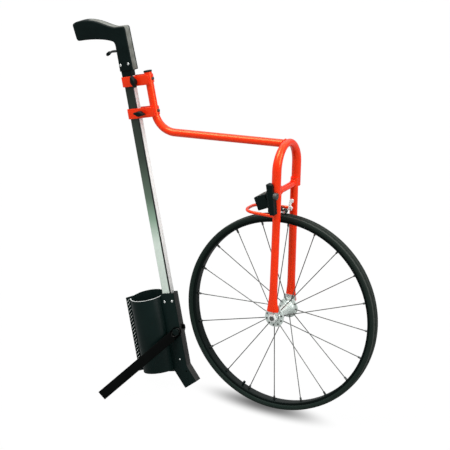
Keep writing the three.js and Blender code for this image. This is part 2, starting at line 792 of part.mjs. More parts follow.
function resetKnob() {
  const far = counterNearFace + counterLength;
  return inCounter(revolve([[0, far - overrun + fit], [resetShaftRadius, far - overrun + fit],
    [resetShaftRadius, far + fit], [resetRadius, far + fit], [resetRadius, far + resetLength - 1],
    [resetRadius - 1, far + resetLength], [0, far + resetLength]], 12));
}

// Where the staff and the arm lie, worked out in the wheel's own plane
const lean = new THREE.Vector2(-Math.sin(staffTilt * DEG), Math.cos(staffTilt * DEG));
const front = new THREE.Vector2(Math.cos(staffTilt * DEG), Math.sin(staffTilt * DEG));
const footTip = new THREE.Vector2(
  bracketBack + footLength * Math.sin(footAngle * DEG),
  bracketBend - footLength * Math.cos(footAngle * DEG),
);
const staffBaseZ = -(footTip.x * front.y + footTip.y * lean.y);
const axleHeight = wheelRadius;
// A staff place (in front, along) as a point of the ground frame
const onStaff = (f, s, y = 0) => V(staffBaseX + f * front.x + s * lean.x, y, staffBaseZ + f * front.y + s * lean.y);

// Arm: from the hoop's crown back and down, then round the bend and up beside the staff
function armPath() {
  const crown = V(-hoopTop * Math.sin(forkLean * DEG), 0, axleHeight + hoopTop * Math.cos(forkLean * DEG));
  const run = new THREE.Vector2(-Math.cos(armFall * DEG), -Math.sin(armFall * DEG));
  const foot = onStaff(armSpacing, 0);
  const across = (crown.x - foot.x) * run.y - (crown.z - foot.z) * run.x;
  const along = across / (lean.x * run.y - lean.y * run.x);
  return rounded([crown, onStaff(armSpacing, along), onStaff(armSpacing, armTop)], armBend, bendSteps + 2);
}

function arm() {
  const crown = tube(hoopPath, hoopRadius + fit, tubeSides, alongX).rotateY(-forkLean * DEG)
    .translate(0, 0, axleHeight);
  const bolts = strapCentres.map((s) => rodX(strapBoltRadius, 0, armRadius + strapBoltHead, 6)
    .rotateY(-staffTilt * DEG).translate(...onStaff(armSpacing, s).toArray()));
  const socket = rodZ(armCapStemRadius + fit, -armCapStem - fit, overrun).rotateY(-staffTilt * DEG)
    .translate(...onStaff(armSpacing, armTop).toArray());
  return cut(join(tube(armPath(), armRadius, tubeSides, alongY), ...bolts), crown, socket);
}

function armCap() {
  return join(rodZ(armCapRadius, armTop + fit, armTop + armCapThickness, 16),
    rodZ(armCapStemRadius, armTop - armCapStem, armTop + armCapThickness / 2))
    .translate(armSpacing, 0, 0);
}

const staffWidth = 2 * armRadius;
const staffHalf = staffWidth / 2;
// Staff: a rectangular tube, open at both ends, slotted for the trigger and drilled for its pin
function staff() {
  const outer = roundedBox(staffDepth, staffWidth, cornerRound);
  const inner = roundedBox(staffDepth - 2 * staffWall, staffWidth - 2 * staffWall, cornerRound - staffWall, 1);
  const slotRise = (triggerPivot + staffDepth / 2) * Math.tan(triggerTravel * DEG);
  const slot = block(-staffDepth, -staffDepth / 2 + 2 * staffWall, -triggerWidth / 2 - fit, triggerWidth / 2 + fit,
    triggerHeight - triggerThickness / 2 - 1, triggerHeight + triggerThickness / 2 + slotRise + 2);
  const pinHole = rodY(pinRadius + fit + 0.1, -staffWidth, staffWidth).translate(triggerPivot, 0, triggerHeight);
  return cut(plateZ(outer, staffEnd, staffTop, [inner]), slot, pinHole);
}

// Strap clamp: a band round the staff whose two sides reach past the arm, with a welded nut on the far side
function strap(s) {
  const y = staffHalf + fit + strapThickness / 2;
  const back = -staffDepth / 2 - fit - strapThickness / 2;
  const end = armSpacing + strapReach;
  const corners = [V(end, -y, 0), V(back, -y, 0), V(back, y, 0), V(end, y, 0)];
  const path = rounded(corners, strapThickness, 3).map((p) => [p.x, p.y]);
  const band = plateZ(ribbon(path, strapThickness), s - strapHeight / 2, s + strapHeight / 2);
  const nutY = y + strapThickness / 2;
  const nut = rodY(strapNutRadius, nutY - 1, nutY + strapNutThickness, 6).translate(knobPlace, 0, s);
  const hole = rodY(knobBoltRadius + fit + 0.1, -2 * y, 2 * y + strapNutThickness).translate(knobPlace, 0, s);
  const trim = [1, -1].map((sign) => block(end - 3, end + overrun, -2 * y, 2 * y, 0, strapHeight)
    .rotateY(sign * 0.5).translate(0, 0, s + (sign > 0 ? strapHeight / 2 - 1 : -strapHeight * 1.5 + 1)));
  return { band: join(band, nut), hole, trim };
}

// Wing knob with its bolt: it clamps the two sides of a strap on the staff
function knob(s, turn) {
  const face = -(staffHalf + fit + strapThickness + fit);
  const half = knobLength / 2;
  const wing = new THREE.Shape();
  wing.moveTo(-half, 0);
  wing.quadraticCurveTo(-half * 0.75, knobWaist / 2, 0, knobWaist / 2);
  wing.quadraticCurveTo(half * 0.75, knobWaist / 2, half, 0);
  wing.quadraticCurveTo(half * 0.75, -knobWaist / 2, 0, -knobWaist / 2);
  wing.quadraticCurveTo(-half * 0.75, -knobWaist / 2, -half, 0);
  const body = plateY(wing, face - knobNeck - knobDepth, face - knobNeck + 1, 1).rotateY(turn * DEG);
  const neck = rodY(knobNeckRadius, face - knobNeck - 1, face);
  const bolt = rodY(knobBoltRadius, face - 1, -face + strapNutThickness + 2);
  return join(body, neck, bolt).translate(knobPlace, 0, s);
}

// Grip outline: housing over the staff's top, handle sweeping back to the butt
function gripOutline() {
  const butt = gripBack - gripReach;
  const top = gripShoulder + gripRise;
  const under = top - buttHeight;
  const at = (share) => gripBack - gripReach * share;
  const shape = new THREE.Shape();
  shape.moveTo(gripBack, gripBottom);
  shape.lineTo(gripFront, gripBottom);
  shape.lineTo(gripFront - 2, gripShoulder - gripCorner);
  shape.quadraticCurveTo(gripFront - 2, gripShoulder, gripFront - 2 - gripCorner, gripShoulder);
  shape.lineTo(gripBack + gripCorner, gripShoulder);
  shape.bezierCurveTo(at(0.14), gripShoulder + gripRise * 0.18, at(0.38), top, at(0.82), top);
  shape.quadraticCurveTo(butt, top, butt, top - buttHeight * 0.4);
  shape.lineTo(butt + 3, under + gripCorner);
  shape.quadraticCurveTo(butt + 4, under, butt + 4 + gripCorner, under);
  shape.bezierCurveTo(at(0.55), under + 1, at(0.2), under - 4, at(0.04), under - 11);
  shape.quadraticCurveTo(gripBack, under - 14, gripBack, under - 22);
  return shape;
}

// Half of the grip's moulding, hollowed for the staff and the trigger; the trigger's pin is moulded on the far half
function gripHalf(side) {
  const half = gripThickness / 2;
  const body = plateY(gripOutline(), -half, half, gripRound);
  const pocket = block(-staffDepth / 2 - fit, staffDepth / 2 + fit, -staffHalf - fit, staffHalf + fit,
    gripBottom - overrun, staffTop + fit);
  const slotRise = (triggerPivot - gripBack) * Math.tan(triggerTravel * DEG);
  const slot = block(gripBack - overrun, 0, -triggerWidth / 2 - fit, triggerWidth / 2 + fit,
    triggerHeight - triggerThickness / 2 - 1.5, triggerHeight + triggerThickness / 2 + slotRise + 2);
  const pinEnd = half - 2 + fit;
  const pinHole = rodY(pinRadius + fit + 0.1, -pinEnd, pinEnd).translate(triggerPivot, 0, triggerHeight);
  const room = block(-gripReach * 2, gripReach * 2, side > 0 ? fit / 2 : -gripThickness,
    side > 0 ? gripThickness : -fit / 2, gripBottom - overrun, gripShoulder * 1.5);
  if (side < 0) return keep(cut(body, pocket, slot, pinHole), room);
  const pin = rodY(pinRadius, -half + 2, half - 2).translate(triggerPivot, 0, triggerHeight);
  return join(keep(cut(body, pocket, slot), room), pin);
}

// Trigger: hub on its pin, arm out through the slot, and a dipped finger pad
function trigger() {
  const half = triggerThickness / 2;
  const y = triggerWidth / 2;
  const bend = triggerTip + triggerPadLength;
  const arm = plateY([[triggerPivot, -half], [triggerPivot, half], [bend, half + 1], [triggerTip, -triggerDrop + half],
    [triggerTip, -triggerDrop], [bend, -half + 1]], -y, y);
  const hub = rodY(triggerHubRadius, -y, y, 16).translate(triggerPivot, 0, 0);
  const pad = tube([V(bend - 2, 0, 0), V(triggerTip - 1, 0, -triggerDrop + 1)], triggerPadRadius, 8, alongY);
  const bore = rodY(pinRadius + fit + 0.1, -2 * y, 2 * y).translate(triggerPivot, 0, 0);
  const eye = rodZ(rodRadius + slack, -staffDepth, staffDepth).translate(rodPlace, 0, 0);
  return cut(join(arm, hub, pad), bore, eye).translate(0, 0, triggerHeight);
}

const leverHeight = holderTop - holderLength - leverDrop - leverThickness / 2;
// Pull rod: it hangs on the trigger by its upper head and lifts the lever with its lower one
function pullRod() {
  const topSeat = triggerHeight + triggerThickness / 2 + headroom;
  const lowSeat = leverHeight - leverThickness / 2 - slack;
  const path = [V(0, 0, lowSeat - rodHeadLength), V(0, 0, lowSeat), V(0, 0, lowSeat), V(0, 0, topSeat), V(0, 0, topSeat),
    V(0, 0, topSeat + rodHeadLength)];
  const radii = [rodHeadRadius, rodHeadRadius, rodRadius, rodRadius, rodHeadRadius, rodHeadRadius];
  return steppedTube(path, radii, 8, alongX).translate(rodPlace, 0, 0);
}

const channelHalf = staffHalf + fit;
const flangeOuter = channelHalf + bracketWall;
// Bracket: a channel bent forward into the foot, open at the back
function bracket() {
  const frontFace = bracketBack + bracketDepth;
  const turn = footAngle * DEG;
  const down = [Math.sin(turn), -Math.cos(turn)];
  const across = [Math.cos(turn), Math.sin(turn)];
  const bendFront = bracketBend + bracketDepth * Math.tan(turn / 2);
  const outline = (inset, extra) => {
    const face = frontFace - inset;
    const bendAt = bracketBend + (face - bracketBack) * Math.tan(turn / 2);
    const depth = bracketDepth - inset;
    return [[bracketBack - extra, bracketTop + extra], [face, bracketTop + extra], [face, bendAt],
      [footTip.x + across[0] * depth + down[0] * extra, footTip.y + across[1] * depth + down[1] * extra],
      [footTip.x - across[0] * extra + down[0] * extra, footTip.y - across[1] * extra + down[1] * extra],
      [bracketBack - extra, bracketBend]];
  };
  const channel = cut(plateY(outline(0, 0), -flangeOuter, flangeOuter),
    plateY(outline(bracketWall, overrun), -channelHalf, channelHalf));
  const boltHole = rodY(legBoltRadius + fit + 0.1, -2 * flangeOuter, 2 * flangeOuter)
    .translate(legPivot[0], 0, legPivot[1]);
  const pinHole = rodY(pinRadius + fit + 0.1, -2 * flangeOuter, 2 * flangeOuter).translate(leverPivot, 0, leverHeight);
  const footHole = rodY(1.8, -2 * flangeOuter, 0, 8).translate(frontFace - 4, 0, bendFront - footLength * 0.8);
  return cut(channel, boltHole, pinHole, footHole);
}

const holderMiddle = bracketBack - Math.sqrt(holderRadius ** 2 - channelHalf ** 2) - fit;
// Can holder: a rolled wall, slit at the rear with a flared lip, over a floor with the nozzle's hole and the lever's slot
function canHolder() {
  const r = holderRadius - holderWall / 2;
  const start = Math.PI + slitNear * DEG;
  const end = 3 * Math.PI - slitFar * DEG;
  const steps = 34;
  const wall = Array.from({ length: steps + 1 }, (_, i) => {
    const a = start + (end - start) * i / steps;
    return [r * Math.cos(a), r * Math.sin(a)];
  });
  const lipTurn = (90 + lipFlare) * DEG - slitFar * DEG;
  const [ex, ey] = wall[wall.length - 1];
  const lip = [ex + lipLength * Math.cos(lipTurn + Math.PI / 2 - 0.2), ey + lipLength * Math.sin(-lipTurn)];
  const bottom = holderTop - holderLength;
  const rolled = plateZ(ribbon([...wall, lip], holderWall), bottom, holderTop);
  const swing = block(0, holderRadius - 3 * holderWall, -leverWidth / 2 - leverRoom, leverWidth / 2 + leverRoom,
    bottom - overrun, bottom + overrun);
  const floor = cut(rodZ(r, bottom, bottom + holderWall, steps), rodZ(nozzleHole, bottom - overrun, bottom + overrun,
    20), swing);
  return join(rolled, floor).translate(holderMiddle, 0, 0);
}

// Nozzle lever: a strip under the holder's floor with its pin ends in the bracket and a pad under the nozzle
function nozzleLever() {
  const half = leverThickness / 2;
  const y = leverWidth / 2;
  const strip = block(holderMiddle - leverPadRadius, leverPivot, -y, y, -half, half);
  const hub = rodY(leverHubRadius, -channelHalf + fit, channelHalf - fit).translate(leverPivot, 0, 0);
  const pins = rodY(pinRadius, -flangeOuter, flangeOuter).translate(leverPivot, 0, 0);
  const pad = rodZ(leverPadRadius, -half, half + leverPadHeight, 16).translate(holderMiddle, 0, 0);
  const eye = rodZ(rodRadius + slack, -overrun, overrun).translate(rodPlace, 0, 0);
  return cut(join(strip, hub, pins, pad), eye).translate(0, 0, leverHeight);
}

// Side leg: a flat tab on its bolt, bent outwards into the bar that reaches the ground
function leg() {
  const pivot = onStaff(legPivot[0], legPivot[1]);
  const along = V(-Math.cos(legDrop * DEG), 0, -Math.sin(legDrop * DEG));
  const splay = legSplay * DEG;
  const width = V(Math.sin(legDrop * DEG), 0, -Math.cos(legDrop * DEG));
  const tabY = -(flangeOuter + fit + legThickness / 2);
  const bend = pivot.clone().addScaledVector(along, legTab).setY(tabY);
  const bar = along.clone().multiplyScalar(Math.cos(splay)).add(V(0, -Math.sin(splay), 0));
  const thick = width.clone().cross(bar).normalize();
  const lowest = Math.abs(width.z) * legWidth / 2 + Math.abs(thick.z) * legThickness / 2;
  const reach = (bend.z - lowest) / -bar.z;
  const tip = bend.clone().addScaledVector(bar, reach);
  const section = [[legWidth / 2, legThickness / 2], [-legWidth / 2, legThickness / 2],
    [-legWidth / 2, -legThickness / 2], [legWidth / 2, -legThickness / 2]];
  const start = pivot.clone().setY(tabY);
  const path = rounded([start, bend, tip], legThickness * 2, 3);
  const strip = sweep(path, path.map(() => section), width);
  const disc = rodY(legWidth / 2, tabY - legThickness / 2, tabY + legThickness / 2, 20).translate(pivot.x, 0, pivot.z);
  const hole = rodY(legBoltRadius + fit + 0.1, tabY * 2, 0).translate(pivot.x, 0, pivot.z);
  return cut(join(strip, disc), hole);
}

function legBolt() {
  const near = -(flangeOuter + fit + legThickness + fit);
  const far = flangeOuter + fit;
  return join(rodY(legBoltRadius, near - 1, far + legNutHeight + 1), rodY(legBoltHead, near - legBoltHeadHeight, near, 6),
    rodY(legBoltHead * 0.9, far, far + legNutHeight, 6)).translate(legPivot[0], 0, legPivot[1]);
}

// Turns a piece into a named mesh with its own material
function mesh(name, geometry, [color, roughness, metalness]) {
  const made = new THREE.Mesh(geometry, new THREE.MeshStandardMaterial({ color, roughness, metalness }));
  made.name = name;
  return made;
}

const wheelGroup = new THREE.Group();
wheelGroup.position.z = axleHeight;
wheelGroup.add(mesh('tyre', tyre(), rubber), mesh('rim', rim(), darkSteel), mesh('hub_shell', hubShell(), zinc));
wheelGroup.add(mesh('valve_stem', valveStem(), blackPlastic));
for (let k = 0; k < spokeCount; k += 1) {
  wheelGroup.add(mesh(`spoke_${String(k + 1).padStart(2, '0')}`, spoke(k), spokeSteel));
}
wheelGroup.add(mesh('bearing_near', bearing(-1), spokeSteel), mesh('bearing_far', bearing(1), spokeSteel));
wheelGroup.add(mesh('axle', rodY(axleRadius, -axleLength / 2, axleLength / 2, 16), spokeSteel));
wheelGroup.add(mesh('axle_nut_near', axleNut(-1), zinc), mesh('axle_nut_far', axleNut(1), zinc));

const forkGroup = new THREE.Group();
forkGroup.position.z = axleHeight;
forkGroup.rotation.y = -forkLean * DEG;
forkGroup.add(mesh('dropout_near', dropout(-1), zinc), mesh('dropout_far', dropout(1), zinc));
forkGroup.add(mesh('fork_blade_near', blade(-1), redPaint), mesh('fork_blade_far', blade(1), redPaint));
forkGroup.add(mesh('fork_hoop', hoop(), redPaint), mesh('fork_crossbar', crossbar(), redPaint));
forkGroup.add(mesh('counter_guard', guard(), redPaint), mesh('gear_case', gearCase(), blackPlastic));
forkGroup.add(mesh('roller_stay', stay(), zinc), mesh('drive_roller', roller(), rubber));
forkGroup.add(mesh('counter_housing', counterHousing(), blackPlastic));
['units', 'tens', 'hundreds'].forEach((row, i) => forkGroup.add(mesh(`number_drum_${row}`, drum(i), white)));
forkGroup.add(mesh('reset_knob', resetKnob(), blackPlastic));

const staffGroup = new THREE.Group();
staffGroup.position.set(staffBaseX, 0, staffBaseZ);
staffGroup.rotation.y = -staffTilt * DEG;
staffGroup.add(mesh('staff_tube', staff(), aluminium), mesh('arm_cap', armCap(), blackPlastic));
['lower', 'upper'].forEach((level, i) => {
  const made = strap(strapCentres[i]);
  staffGroup.add(mesh(`clamp_strap_${level}`, cut(made.band, made.hole), redPaint));
  staffGroup.add(mesh(`clamp_knob_${level}`, knob(strapCentres[i], knobTurns[i]), blackPlastic));
});
staffGroup.add(mesh('grip_near', gripHalf(-1), blackPlastic), mesh('grip_far', gripHalf(1), blackPlastic));
staffGroup.add(mesh('trigger', trigger(), zinc));
staffGroup.add(mesh('pull_rod', pullRod(), spokeSteel), mesh('nozzle_lever', nozzleLever(), blackSteel));
staffGroup.add(mesh('staff_bracket', bracket(), blackSteel), mesh('can_holder', canHolder(), blackSteel));
staffGroup.add(mesh('leg_bolt', legBolt(), blackSteel));

const group = new THREE.Group();
group.add(wheelGroup, forkGroup, staffGroup);
group.add(mesh('arm_tube', arm(), redPaint), mesh('side_leg', leg(), blackSteel));
group.updateMatrixWorld(true);
const outline = new THREE.Box3().setFromObject(group, true);
group.position.set(-(outline.min.x + outline.max.x) / 2, -(outline.min.y + outline.max.y) / 2, -outline.min.z);

export default group;
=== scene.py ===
"""Looks of the measuring wheel on its marking staff.

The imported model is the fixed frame. Everything is in metres, +Z up, with the wheel towards
+X and the side leg towards -Y. New pieces are surfaces worked out with numpy.
"""

import json
import math

import bpy
import numpy as np
from mathutils import Matrix, Vector


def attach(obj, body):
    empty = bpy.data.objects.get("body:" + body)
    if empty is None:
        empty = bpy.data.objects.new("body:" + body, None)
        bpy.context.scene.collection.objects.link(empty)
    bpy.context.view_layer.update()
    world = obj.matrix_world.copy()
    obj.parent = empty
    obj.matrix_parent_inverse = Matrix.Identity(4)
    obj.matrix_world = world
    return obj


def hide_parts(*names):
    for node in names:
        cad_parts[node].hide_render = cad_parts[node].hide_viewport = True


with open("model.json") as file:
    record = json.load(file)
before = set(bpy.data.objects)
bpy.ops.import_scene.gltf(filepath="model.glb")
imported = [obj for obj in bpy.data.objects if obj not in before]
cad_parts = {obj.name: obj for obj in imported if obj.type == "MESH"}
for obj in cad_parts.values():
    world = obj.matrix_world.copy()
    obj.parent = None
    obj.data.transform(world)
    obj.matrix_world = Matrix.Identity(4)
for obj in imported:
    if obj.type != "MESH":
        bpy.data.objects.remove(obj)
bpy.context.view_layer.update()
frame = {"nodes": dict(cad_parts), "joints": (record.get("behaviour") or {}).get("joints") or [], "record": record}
nodes = frame["nodes"]
joints = {joint["name"]: joint for joint in frame["joints"]}
MM = 0.001

# Places and directions that the pieces share
WHEEL = np.array(joints["wheel_spin"]["pos_m"])
UP_STAFF = np.array(joints["rod_lift"]["axis"])
FORWARD = np.array([UP_STAFF[2], 0.0, -UP_STAFF[0]])
SIDE = np.array([0.0, 1.0, 0.0])

# Camera and framing
CAMERA_FROM_WHEEL = (1.42568, -3.33873, 1.27360)
CAMERA_AZIMUTH = 25.001
CAMERA_ELEVATION = 16.901
CAMERA_ROLL = 3.035
CAMERA_LENS = 157.54
SENSOR = 36.0

# Light levels
ROOM_LIGHT = 0.60
KEY_LIGHT = 2.3
FILL_LIGHT = 1.7
LOW_GLOSS = 0.34
HIGH_GLOSS = 2.3
WHITE_SHARE = 0.97

# The painted shadow under the tyre: a soft band of painted shade on the floor
PAINTED_SHADOW_MIDDLE = (0.118, 0.044, 0.0)
PAINTED_SHADOW_REACH = (0.185, 0.062, 1.0)
PAINTED_SHADOW_TURN = -9.0
PAINTED_SHADOW_LEVEL = 0.16

# Colours, as linear light
RUBBER = (0.0075, 0.0155, 0.0120, 1)
RUBBER_DUST = (0.014, 0.020, 0.018, 1)
# The tread's lighter colour, strongest in painted highlights along its ribs
TREAD_PAINTED_HIGHLIGHT = (0.046, 0.052, 0.046, 1)
RIM_PAINT = (0.0022, 0.0050, 0.0042, 1)
ZINC = (0.74, 0.77, 0.75, 1)
WHITE_ZINC = (0.94, 0.96, 0.94, 1)
DARK_ZINC = (0.060, 0.066, 0.064, 1)
HUB_CAST = (0.66, 0.74, 0.70, 1)
SPOKE = (0.115, 0.120, 0.115, 1)
RED = (0.92, 0.021, 0.0030, 1)
RED_DEEP = (0.86, 0.022, 0.0016, 1)
RED_GLOSS = (1.0, 0.56, 0.20, 1)
BLACK = (0.0012, 0.0056, 0.0050, 1)
BLACK_SHEEN = (0.0035, 0.0100, 0.0095, 1)
HOLDER = (0.0030, 0.0095, 0.0085, 1)
HOLDER_SHEEN = (0.0060, 0.0150, 0.0140, 1)
LEG = (0.0004, 0.0007, 0.0006, 1)
LEG_SHEEN = (0.0014, 0.0018, 0.0017, 1)
WEB = (0.0080, 0.0095, 0.0085, 1)
WEB_WORN = (0.034, 0.034, 0.030, 1)
GREY_MOULDING = (0.040, 0.043, 0.037, 1)
# STRIP grey: the counter window frame's colour, and on the grip a painted reflection
STRIP = (0.120, 0.125, 0.105, 1)
ALUMINIUM = (0.84, 0.97, 0.87, 1)
# The staff's painted reflection: a painted dark line at its front corner and a painted pale front face
PAINTED_CORNER_SHADE = (0.010, 0.013, 0.012, 1)
PAINTED_FRONT_HIGHLIGHT = (0.97, 0.97, 0.95, 1)
DRUM = (0.78, 0.78, 0.74, 1)
FLOOR = (0.36, 0.36, 0.36, 1)

# Where the tread's lighter colour begins and is full, from the axle, and the distance between its ribs, which carry
# painted highlights, in metres
TREAD_START = 0.1915
TREAD_FULL = 0.1965
RIB_PITCH = 0.0085

# The staff's painted reflection: darker with height above the floor, and a painted dark line at the corner in front of
# the middle, in metres
STAFF_PAINTED_PALE = (0.290, (1.0, 1.0, 1.0, 1))
STAFF_PAINTED_DARK = (0.600, (0.009, 0.016, 0.012, 1))
STAFF_PAINTED_GREYS = ((0.340, 0.42), (0.380, 0.17), (0.460, 0.050))
STAFF_PAINTED_TINT = (0.88, 1.15, 0.94)
CORNER_START = 0.0066
CORNER_FULL = 0.0074

# How much a finish's roughness varies, and the depth of its relief in metres
ROUGHNESS_SPREAD = 0.15
RELIEF_DEPTH = 0.0002


# Shader groups
def group(name, inputs, outputs):
    """An empty shader group with its sockets: (name, kind, start value) in, (name, kind) out."""
    made = bpy.data.node_groups.new(name, "ShaderNodeTree")
    for label, kind, start in inputs:
        socket = made.interface.new_socket(label, in_out="INPUT", socket_type=kind)
        socket.default_value = start
    for label, kind in outputs:
        made.interface.new_socket(label, in_out="OUTPUT", socket_type=kind)
    enter = made.nodes.new("NodeGroupInput")
    leave = made.nodes.new("NodeGroupOutput")
    return made, enter, leave


def put(tree, kind, settings=None):
    """Adds a node: each setting is a property, an input's value, or a socket that the input is linked from."""
    node = tree.nodes.new(kind)
    for key, value in (settings or {}).items():
        if isinstance(value, bpy.types.NodeSocket):
            tree.links.new(value, node.inputs[key])
        elif isinstance(key, str) and hasattr(node, key):
            setattr(node, key, value)
        else:
            node.inputs[key].default_value = value
    return node


def reckon(tree, operation, *terms, clamp=False):
    """The result of a maths node whose terms are numbers or sockets."""
    settings = {"operation": operation, "use_clamp": clamp, **dict(enumerate(terms))}
    return put(tree, "ShaderNodeMath", settings).outputs[0]


def vectors(tree, operation, first, second, output="Vector"):
    """The result of a vector maths node on a socket and a plain vector."""
    return put(tree, "ShaderNodeVectorMath", {"operation": operation, 0: first, 1: second}).outputs[output]


def ranged(tree, value, low, high, start=0.0, end=1.0):
    """A value between low and high, drawn onto the range from start to end."""
    settings = {"Value": value, "From Min": low, "From Max": high, "To Min": start, "To Max": end}
    return put(tree, "ShaderNodeMapRange", settings).outputs["Result"]


def blended(tree, share, first, second, blend="MIX"):
    """A colour between two colours or sockets, by a share."""
    settings = {"data_type": "RGBA", "blend_type": blend, "Factor": share, 6: first, 7: second}
    return put(tree, "ShaderNodeMix", settings).outputs[2]


def wear_group():
    """Mottled colour, roughness and height: two noises at the grain's and the blotches' scale."""
    made, enter, leave = group("surface_wear", [
        ("Vector", "NodeSocketVector", (0, 0, 0)),
        ("Colour", "NodeSocketColor", (0.5, 0.5, 0.5, 1)),
        ("Worn colour", "NodeSocketColor", (0.6, 0.6, 0.6, 1)),
        ("Blotch scale", "NodeSocketFloat", 20.0),
        ("Grain scale", "NodeSocketFloat", 900.0),
        ("Wear", "NodeSocketFloat", 0.3),
        ("Roughness", "NodeSocketFloat", 0.4),
        ("Roughness spread", "NodeSocketFloat", 0.1),
    ], [("Colour", "NodeSocketColor"), ("Roughness", "NodeSocketFloat"), ("Height", "NodeSocketFloat")])
    given = enter.outputs
    blotch = put(made, "ShaderNodeTexNoise", {"Detail": 5.0, "Roughness": 0.6, "Vector": given["Vector"],
                                              "Scale": given["Blotch scale"]}).outputs["Fac"]
    grain = put(made, "ShaderNodeTexNoise", {"Detail": 2.0, "Vector": given["Vector"],
                                             "Scale": given["Grain scale"]}).outputs["Fac"]
    share = reckon(made, "MULTIPLY", ranged(made, blotch, 0.42, 0.72), given["Wear"])
    colour = blended(made, share, given["Colour"], given["Worn colour"])
    centred = reckon(made, "SUBTRACT", blotch, 0.5)
    rough = reckon(made, "MULTIPLY_ADD", centred, given["Roughness spread"], given["Roughness"], clamp=True)
    for label, source in (("Colour", colour), ("Roughness", rough), ("Height", grain)):
        made.links.new(source, leave.inputs[label])
    return made


WEAR = wear_group()


def finish_of(name, colour, worn, rough, wear=0.35, blotch=25.0, grain=900.0, bump=0.1, metallic=0.0, specular=0.5,
              gloss=(1, 1, 1, 1)):
    """A finish from the wear group: mottled colour and roughness with a fine bump."""
    made = bpy.data.materials.new(name)
    made.use_nodes = True
    tree = made.node_tree
    shader = tree.nodes["Principled BSDF"]
    place = put(tree, "ShaderNodeTexCoord").outputs["Object"]
    surface = put(tree, "ShaderNodeGroup", {
        "node_tree": WEAR, "Vector": place, "Colour": colour, "Worn colour": worn, "Blotch scale": blotch,
        "Grain scale": grain, "Wear": wear, "Roughness": rough, "Roughness spread": ROUGHNESS_SPREAD,
    }).outputs
    relief = put(tree, "ShaderNodeBump", {"Strength": bump, "Distance": RELIEF_DEPTH, "Height": surface["Height"]})
    tree.links.new(surface["Colour"], shader.inputs["Base Color"])
    tree.links.new(surface["Roughness"], shader.inputs["Roughness"])
    tree.links.new(relief.outputs["Normal"], shader.inputs["Normal"])
    shader.inputs["Metallic"].default_value = metallic
    shader.inputs["Specular IOR Level"].default_value = specular
    shader.inputs["Specular Tint"].default_value = gloss
    return made


def opened(made):
    """A finish's node tree, its shader's inputs, the socket of its colour and that of its object coordinates."""
    tree = made.node_tree
    inputs = tree.nodes["Principled BSDF"].inputs
    place = put(tree, "ShaderNodeTexCoord").outputs["Object"]
    return tree, inputs, inputs["Base Color"].links[0].from_socket, place


def dusty_tread():
    """Rubber whose tread is lighter than its walls, by the distance from the axle, and lightest in three lines round
    the wheel: painted highlights on its ribs.

    The ribs are a cosine of the distance from the wheel's middle plane, one rib for each pitch.
    """
    made = finish_of("tyre_rubber", RUBBER, RUBBER_DUST, 0.6, wear=0.5, blotch=30.0, bump=0.25, specular=0.08)
    tree, inputs, surface, place = opened(made)
    flat = vectors(tree, "MULTIPLY", place, (1, 0, 1))
    apart = vectors(tree, "DISTANCE", flat, (WHEEL[0], 0.0, WHEEL[2]), "Value")
    across = put(tree, "ShaderNodeSeparateXYZ", {"Vector": place}).outputs["Y"]
    turns = reckon(tree, "MULTIPLY_ADD", across, math.tau / RIB_PITCH, -math.tau * WHEEL[1] / RIB_PITCH)
    ribs = ranged(tree, reckon(tree, "COSINE", turns), -0.6, 0.6, 0.15)
    # Painted highlight: lighter on the tread, most of all along three lines round the wheel
    tread_highlight_share = reckon(tree, "MULTIPLY", ribs, ranged(tree, apart, TREAD_START, TREAD_FULL))
    tree.links.new(blended(tree, tread_highlight_share, surface, TREAD_PAINTED_HIGHLIGHT), inputs["Base Color"])
    return made


def shaded_aluminium():
    """Aluminium with a painted reflection: its side faces darken up the staff, with a painted dark line at the corner
    before its painted pale front face.
    """
    made = finish_of("staff_extrusion", ALUMINIUM, ZINC, 0.3, metallic=0.3, wear=0.3)
    tree, inputs, surface, place = opened(made)
    # Painted reflection: the colour darkens with height up the staff, by the ramp's stops
    height = put(tree, "ShaderNodeSeparateXYZ", {"Vector": place}).outputs["Z"]
    ramp = put(tree, "ShaderNodeValToRGB", {"Fac": height})
    stops = ramp.color_ramp.elements
    stops[0].position, stops[0].color = STAFF_PAINTED_PALE
    stops[1].position, stops[1].color = STAFF_PAINTED_DARK
    for position, grey in STAFF_PAINTED_GREYS:
        stops.new(position).color = (*(grey * share for share in STAFF_PAINTED_TINT), 1)
    shade = blended(tree, 1.0, surface, ramp.outputs["Color"], "MULTIPLY")
    # Painted reflection by the way a face points: a dark line at the corner of the faces towards -Y, then a pale front
    # face with less metal
    normal = put(tree, "ShaderNodeNewGeometry").outputs["Normal"]
    outward = put(tree, "ShaderNodeSeparateXYZ", {"Vector": normal}).outputs
    along = vectors(tree, "DOT_PRODUCT", place, tuple(FORWARD), "Value")
    middle = float(np.dot(FORWARD, STAFF_BASE))
    corner = ranged(tree, along, middle + CORNER_START, middle + CORNER_FULL)
    near = reckon(tree, "LESS_THAN", outward["Y"], 0.0)
    line = blended(tree, reckon(tree, "MULTIPLY", corner, near), shade, PAINTED_CORNER_SHADE)
    ahead = reckon(tree, "MULTIPLY_ADD", outward["Y"], 0.45, outward["X"])
    front = ranged(tree, ahead, 0.72, 0.85)
    tree.links.new(blended(tree, front, line, PAINTED_FRONT_HIGHLIGHT), inputs["Base Color"])
    tree.links.new(reckon(tree, "MULTIPLY_ADD", front, -0.3, 0.3), inputs["Metallic"])
    return made


